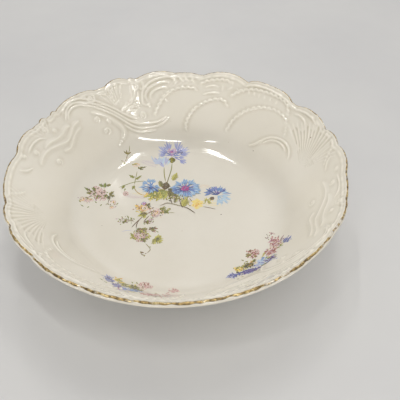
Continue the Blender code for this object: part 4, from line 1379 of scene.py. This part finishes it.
def foot_material():
    """Glazed sides and a bare, scuffed edge where the glaze was wiped off before firing."""
    shader = Shader("foot porcelain", IOR=1.52)
    axis = shader.nodes.new("ShaderNodeSeparateXYZ")
    shader.links.new(shader.place, axis.inputs[0])
    wander = shader.math("MULTIPLY", shader.noise(160.0, 3.0), 0.0012)
    height = shader.math("SUBTRACT", axis.outputs["Z"], wander)
    bare = shader.ramp(shader.math("MULTIPLY", height, 1000.0), (0.0, 1.0), (0.45, 0.0))
    glazed = shader.ramp(shader.noise(24.0, 4.0), (0.3, (0.73, 0.69, 0.60)), (0.7, PALE_IVORY))
    rub = shader.noise(300.0, 6.0, 0.65)
    scuffs = shader.ramp(rub, (0.42, (0.80, 0.76, 0.68)), (0.68, (0.40, 0.36, 0.30)))
    colour = shader.mix(bare, glazed, scuffs)
    grit = shader.ramp(shader.noise(900.0, 4.0), (0.3, 0.6), (0.7, 0.85))
    rough = shader.mix(bare, (0.08, 0.08, 0.08), grit)
    grain = shader.bump(shader.noise(1400.0, 3.0), 0.00005, 0.5)
    return shader.wire(Base_Color=colour, Roughness=rough, Normal=grain)


def gilding_material():
    """Burnished gold, browned where it is thin and rubbed through to the porcelain in places."""
    shader = Shader("gilding", IOR=1.5)
    patches = shader.noise(420.0, 4.0, 0.6)
    thin, thick, bright = (0.12, 0.08, 0.035), (0.38, 0.27, 0.11), (0.76, 0.62, 0.34)
    gold = shader.ramp(patches, (0.38, thin), (0.52, thick), (0.68, bright))
    rubbed = shader.ramp(shader.noise(130.0, 5.0, 0.6), (0.56, 0.0), (0.64, 0.8))
    colour = shader.mix(rubbed, gold, IVORY)
    metal = shader.mix(rubbed, shader.ramp(patches, (0.38, 0.55), (0.55, 0.95)), (0.0, 0.0, 0.0))
    brushed = shader.ramp(shader.noise(700.0, 3.0), (0.3, 0.24), (0.7, 0.42))
    rough = shader.mix(rubbed, brushed, (0.12, 0.12, 0.12))
    uneven = shader.bump(shader.noise(900.0, 3.0), 0.00012, 0.7)
    return shader.wire(Base_Color=colour, Metallic=metal, Roughness=rough, Normal=uneven)


def enamel_material(name):
    """Overglaze enamel: brush-mottled colour, slightly less glossy than the glaze and rubbed in spots."""
    shader = Shader(name, IOR=1.65)
    brush = shader.noise(1500.0, 4.0, 0.6)
    streaks = shader.ramp(brush, (0.3, (0.90, 0.90, 0.90)), (0.7, (1.06, 1.06, 1.06)))
    colour = shader.mix(1.0, shader.paint_layer(), streaks, "MULTIPLY")
    rubbed = shader.ramp(shader.noise(800.0, 3.0), (0.62, 0.0), (0.72, 0.45))
    colour = shader.mix(rubbed, colour, IVORY)
    rough = shader.ramp(shader.noise(500.0, 3.0), (0.3, 0.12), (0.7, 0.26))
    uneven = shader.bump(shader.noise(1200.0, 2.0), 0.00003, 0.5)
    return shader.wire(Base_Color=colour, Roughness=rough, Normal=uneven)


# ---------------------------------------------------------------- stage, light and camera

FLOOR_SIZE = 12.0  # half the floor's side, in metres

CAMERA_DISTANCE = 340.0  # from the middle of the rim, in millimetres
CAMERA_ELEVATION = math.radians(41.24)
CAMERA_PITCH, CAMERA_YAW = 46.0, 3.56
CAMERA_LENS, CAMERA_SENSOR = 42.64, 36.0
RIM_MARGIN = 0.5  # how far over the mean rim the camera's distance and elevation are taken from


def build_stage():
    shader = Shader("pale floor")
    colour = shader.ramp(shader.noise(6.0, 5.0), (0.3, (0.60, 0.60, 0.61)), (0.7, (0.64, 0.64, 0.64)))
    rough = shader.ramp(shader.noise(40.0, 4.0), (0.3, 0.6), (0.7, 0.8))
    material = shader.wire(Base_Color=colour, Roughness=rough)
    corners = np.array(((-1, -1, 0), (1, -1, 0), (1, 1, 0), (-1, 1, 0))) * FLOOR_SIZE
    make_mesh("floor", corners, [(0, 1, 2, 3)], material, ((0, 0), (1, 0), (1, 1), (0, 1)))


def build_camera():
    """Camera at the viewing angle: it looks down into the bowl from the side of the two small sprays."""
    back = CAMERA_DISTANCE * math.cos(CAMERA_ELEVATION)
    height = WALL_TOP_HEIGHT + RIM_MARGIN + CAMERA_DISTANCE * math.sin(CAMERA_ELEVATION)
    data = bpy.data.cameras.new("camera")
    data.lens = CAMERA_LENS
    data.sensor_width = CAMERA_SENSOR
    data.clip_start = 0.01
    camera = bpy.data.objects.new("camera", data)
    camera.location = (0.0, -back * MM, height * MM)
    camera.rotation_euler = (math.radians(90.0 - CAMERA_PITCH), 0.0, math.radians(-CAMERA_YAW))
    bpy.context.scene.collection.objects.link(camera)
    bpy.context.scene.camera = camera


def add_lamp(name, place, angles, size, brightness):
    """A rectangular panel lamp. It faces down until it's tilted and turned by its angles in degrees."""
    data = bpy.data.lights.new(name, "AREA")
    data.shape = "RECTANGLE"
    data.size, data.size_y = size
    data.energy = brightness * math.pi * size[0] * size[1]
    data.color = LAMP_COLOUR
    lamp = bpy.data.objects.new(name, data)
    lamp.location = place
    lamp.rotation_euler = [math.radians(angle) for angle in angles]
    bpy.context.scene.collection.objects.link(lamp)


LAMP_COLOUR, SKY_COLOUR = (1.0, 0.98, 0.94), (1.0, 0.985, 0.96, 1.0)
CEILING = 1.0  # height of the ceiling panels; places and sizes of lamps are in metres
# Long ceiling panels whose reflections are the bright streaks in the bowl: start, end, width, brightness.
STRIPS = (
    ((0.21, 0.24), (0.09, 0.60), 0.035, 30.0),
    ((-0.15, 0.96), (-0.17, 0.97), 0.015, 8.0),
    ((-0.14, 0.32), (-0.05, 0.65), 0.035, 30.0),
    ((-0.03, -0.09), (0.73, -0.80), 0.045, 20.0),
    ((-0.27, -0.17), (-0.44, -0.26), 0.05, 20.0),
)
PANEL_SIZE = (1.2, 0.15)
PANELS = (  # low panels: name, place, angles, brightness
    ("low left panel", (-1.1, -1.3, 0.42), (76.0, 0.0, -40.0), 12.0),
    ("low right panel", (1.1, -1.3, 0.42), (76.0, 0.0, 40.0), 11.0),
    ("far left panel", (-1.6, 0.1, 0.5), (72.0, 0.0, -90.0), 4.5),
)
SKY_STRENGTH = 0.39
GLOW, GLOW_FROM = 0.64, (0.17, 0.88, 0.44)  # a broad soft glow behind the bowl, and its direction
GLOW_POWER = 3.0


def build_light():
    """Long ceiling panels, three low panels, and a pale sky with a glow behind the bowl."""
    for index, (start, end, width, brightness) in enumerate(STRIPS):
        middle = [(a + b) / 2 for a, b in zip(start, end)]
        turn = math.degrees(math.atan2(end[1] - start[1], end[0] - start[0]))
        size = (math.dist(start, end), width)
        add_lamp("strip %d" % index, (*middle, CEILING), (0.0, 0.0, turn), size, brightness)
    for name, place, angles, brightness in PANELS:
        add_lamp(name, place, angles, PANEL_SIZE, brightness)
    build_sky()
    bpy.context.scene.view_settings.view_transform = "Standard"


def build_sky():
    """A pale sky with a broad soft glow in one direction."""
    world = bpy.data.worlds.new("sky")
    world.use_nodes = True
    nodes, links = world.node_tree.nodes, world.node_tree.links
    way = nodes.new("ShaderNodeTexCoord").outputs["Generated"]
    dot = nodes.new("ShaderNodeVectorMath")
    dot.operation = "DOT_PRODUCT"
    dot.inputs[1].default_value = GLOW_FROM
    links.new(way, dot.inputs[0])
    towards = dot.outputs["Value"]
    steps = (("MAXIMUM", (0.0,)), ("POWER", (GLOW_POWER,)), ("MULTIPLY_ADD", (GLOW, SKY_STRENGTH)))
    for operation, values in steps:
        step = nodes.new("ShaderNodeMath")
        step.operation = operation
        links.new(towards, step.inputs[0])
        for socket, value in zip(step.inputs[1:], values):
            socket.default_value = value
        towards = step.outputs[0]
    background = set_inputs(nodes["Background"], Color=SKY_COLOUR)
    links.new(towards, background.inputs["Strength"])
    bpy.context.scene.world = world


# ---------------------------------------------------------------- assembly


def attach(piece, node):
    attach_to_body(piece, "root")
    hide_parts(node)


def make_relief():
    directions = np.arange(COLUMNS) * 360.0 / COLUMNS
    wall = np.linspace(LIP_DEPTH, BEND_DEPTH + 2.0, WALL_ROWS)
    bend = np.linspace(BEND_DEPTH + 2.0, FLOOR_DEPTH, BEND_ROWS)[1:]
    relief = Relief(directions, np.concatenate((wall, bend)))
    relief.motif(0.0, 1.0)
    relief.motif(MOTIF_REPEAT, REPEAT_STRENGTH)
    relief.rim_band()
    relief.finish()
    return relief


def main():
    relief = make_relief()
    attach(build_bowl(relief, glaze("glazed porcelain", relief)), "bowl_body")
    attach(build_foot(foot_material()), "foot_ring")
    attach(build_gilding(relief.directions, gilding_material()), "gilt_rim")
    sprays = (
        ("centre_spray", paint_centre, 11, "centre_spray_transfer", "centre_enamel"),
        ("left_spray", paint_left, 12, "left_spray_transfer", "left_enamel"),
        ("right_spray", paint_right, 13, "right_spray_transfer", "right_enamel"),
    )
    for name, paint_spray, seed, node, slot in sprays:
        spray = Spray(seed)
        paint_spray(spray)
        attach(spray.build(name, relief, enamel_material(name + " enamel")), node)
    build_camera()
    build_light()
    build_stage()


main()
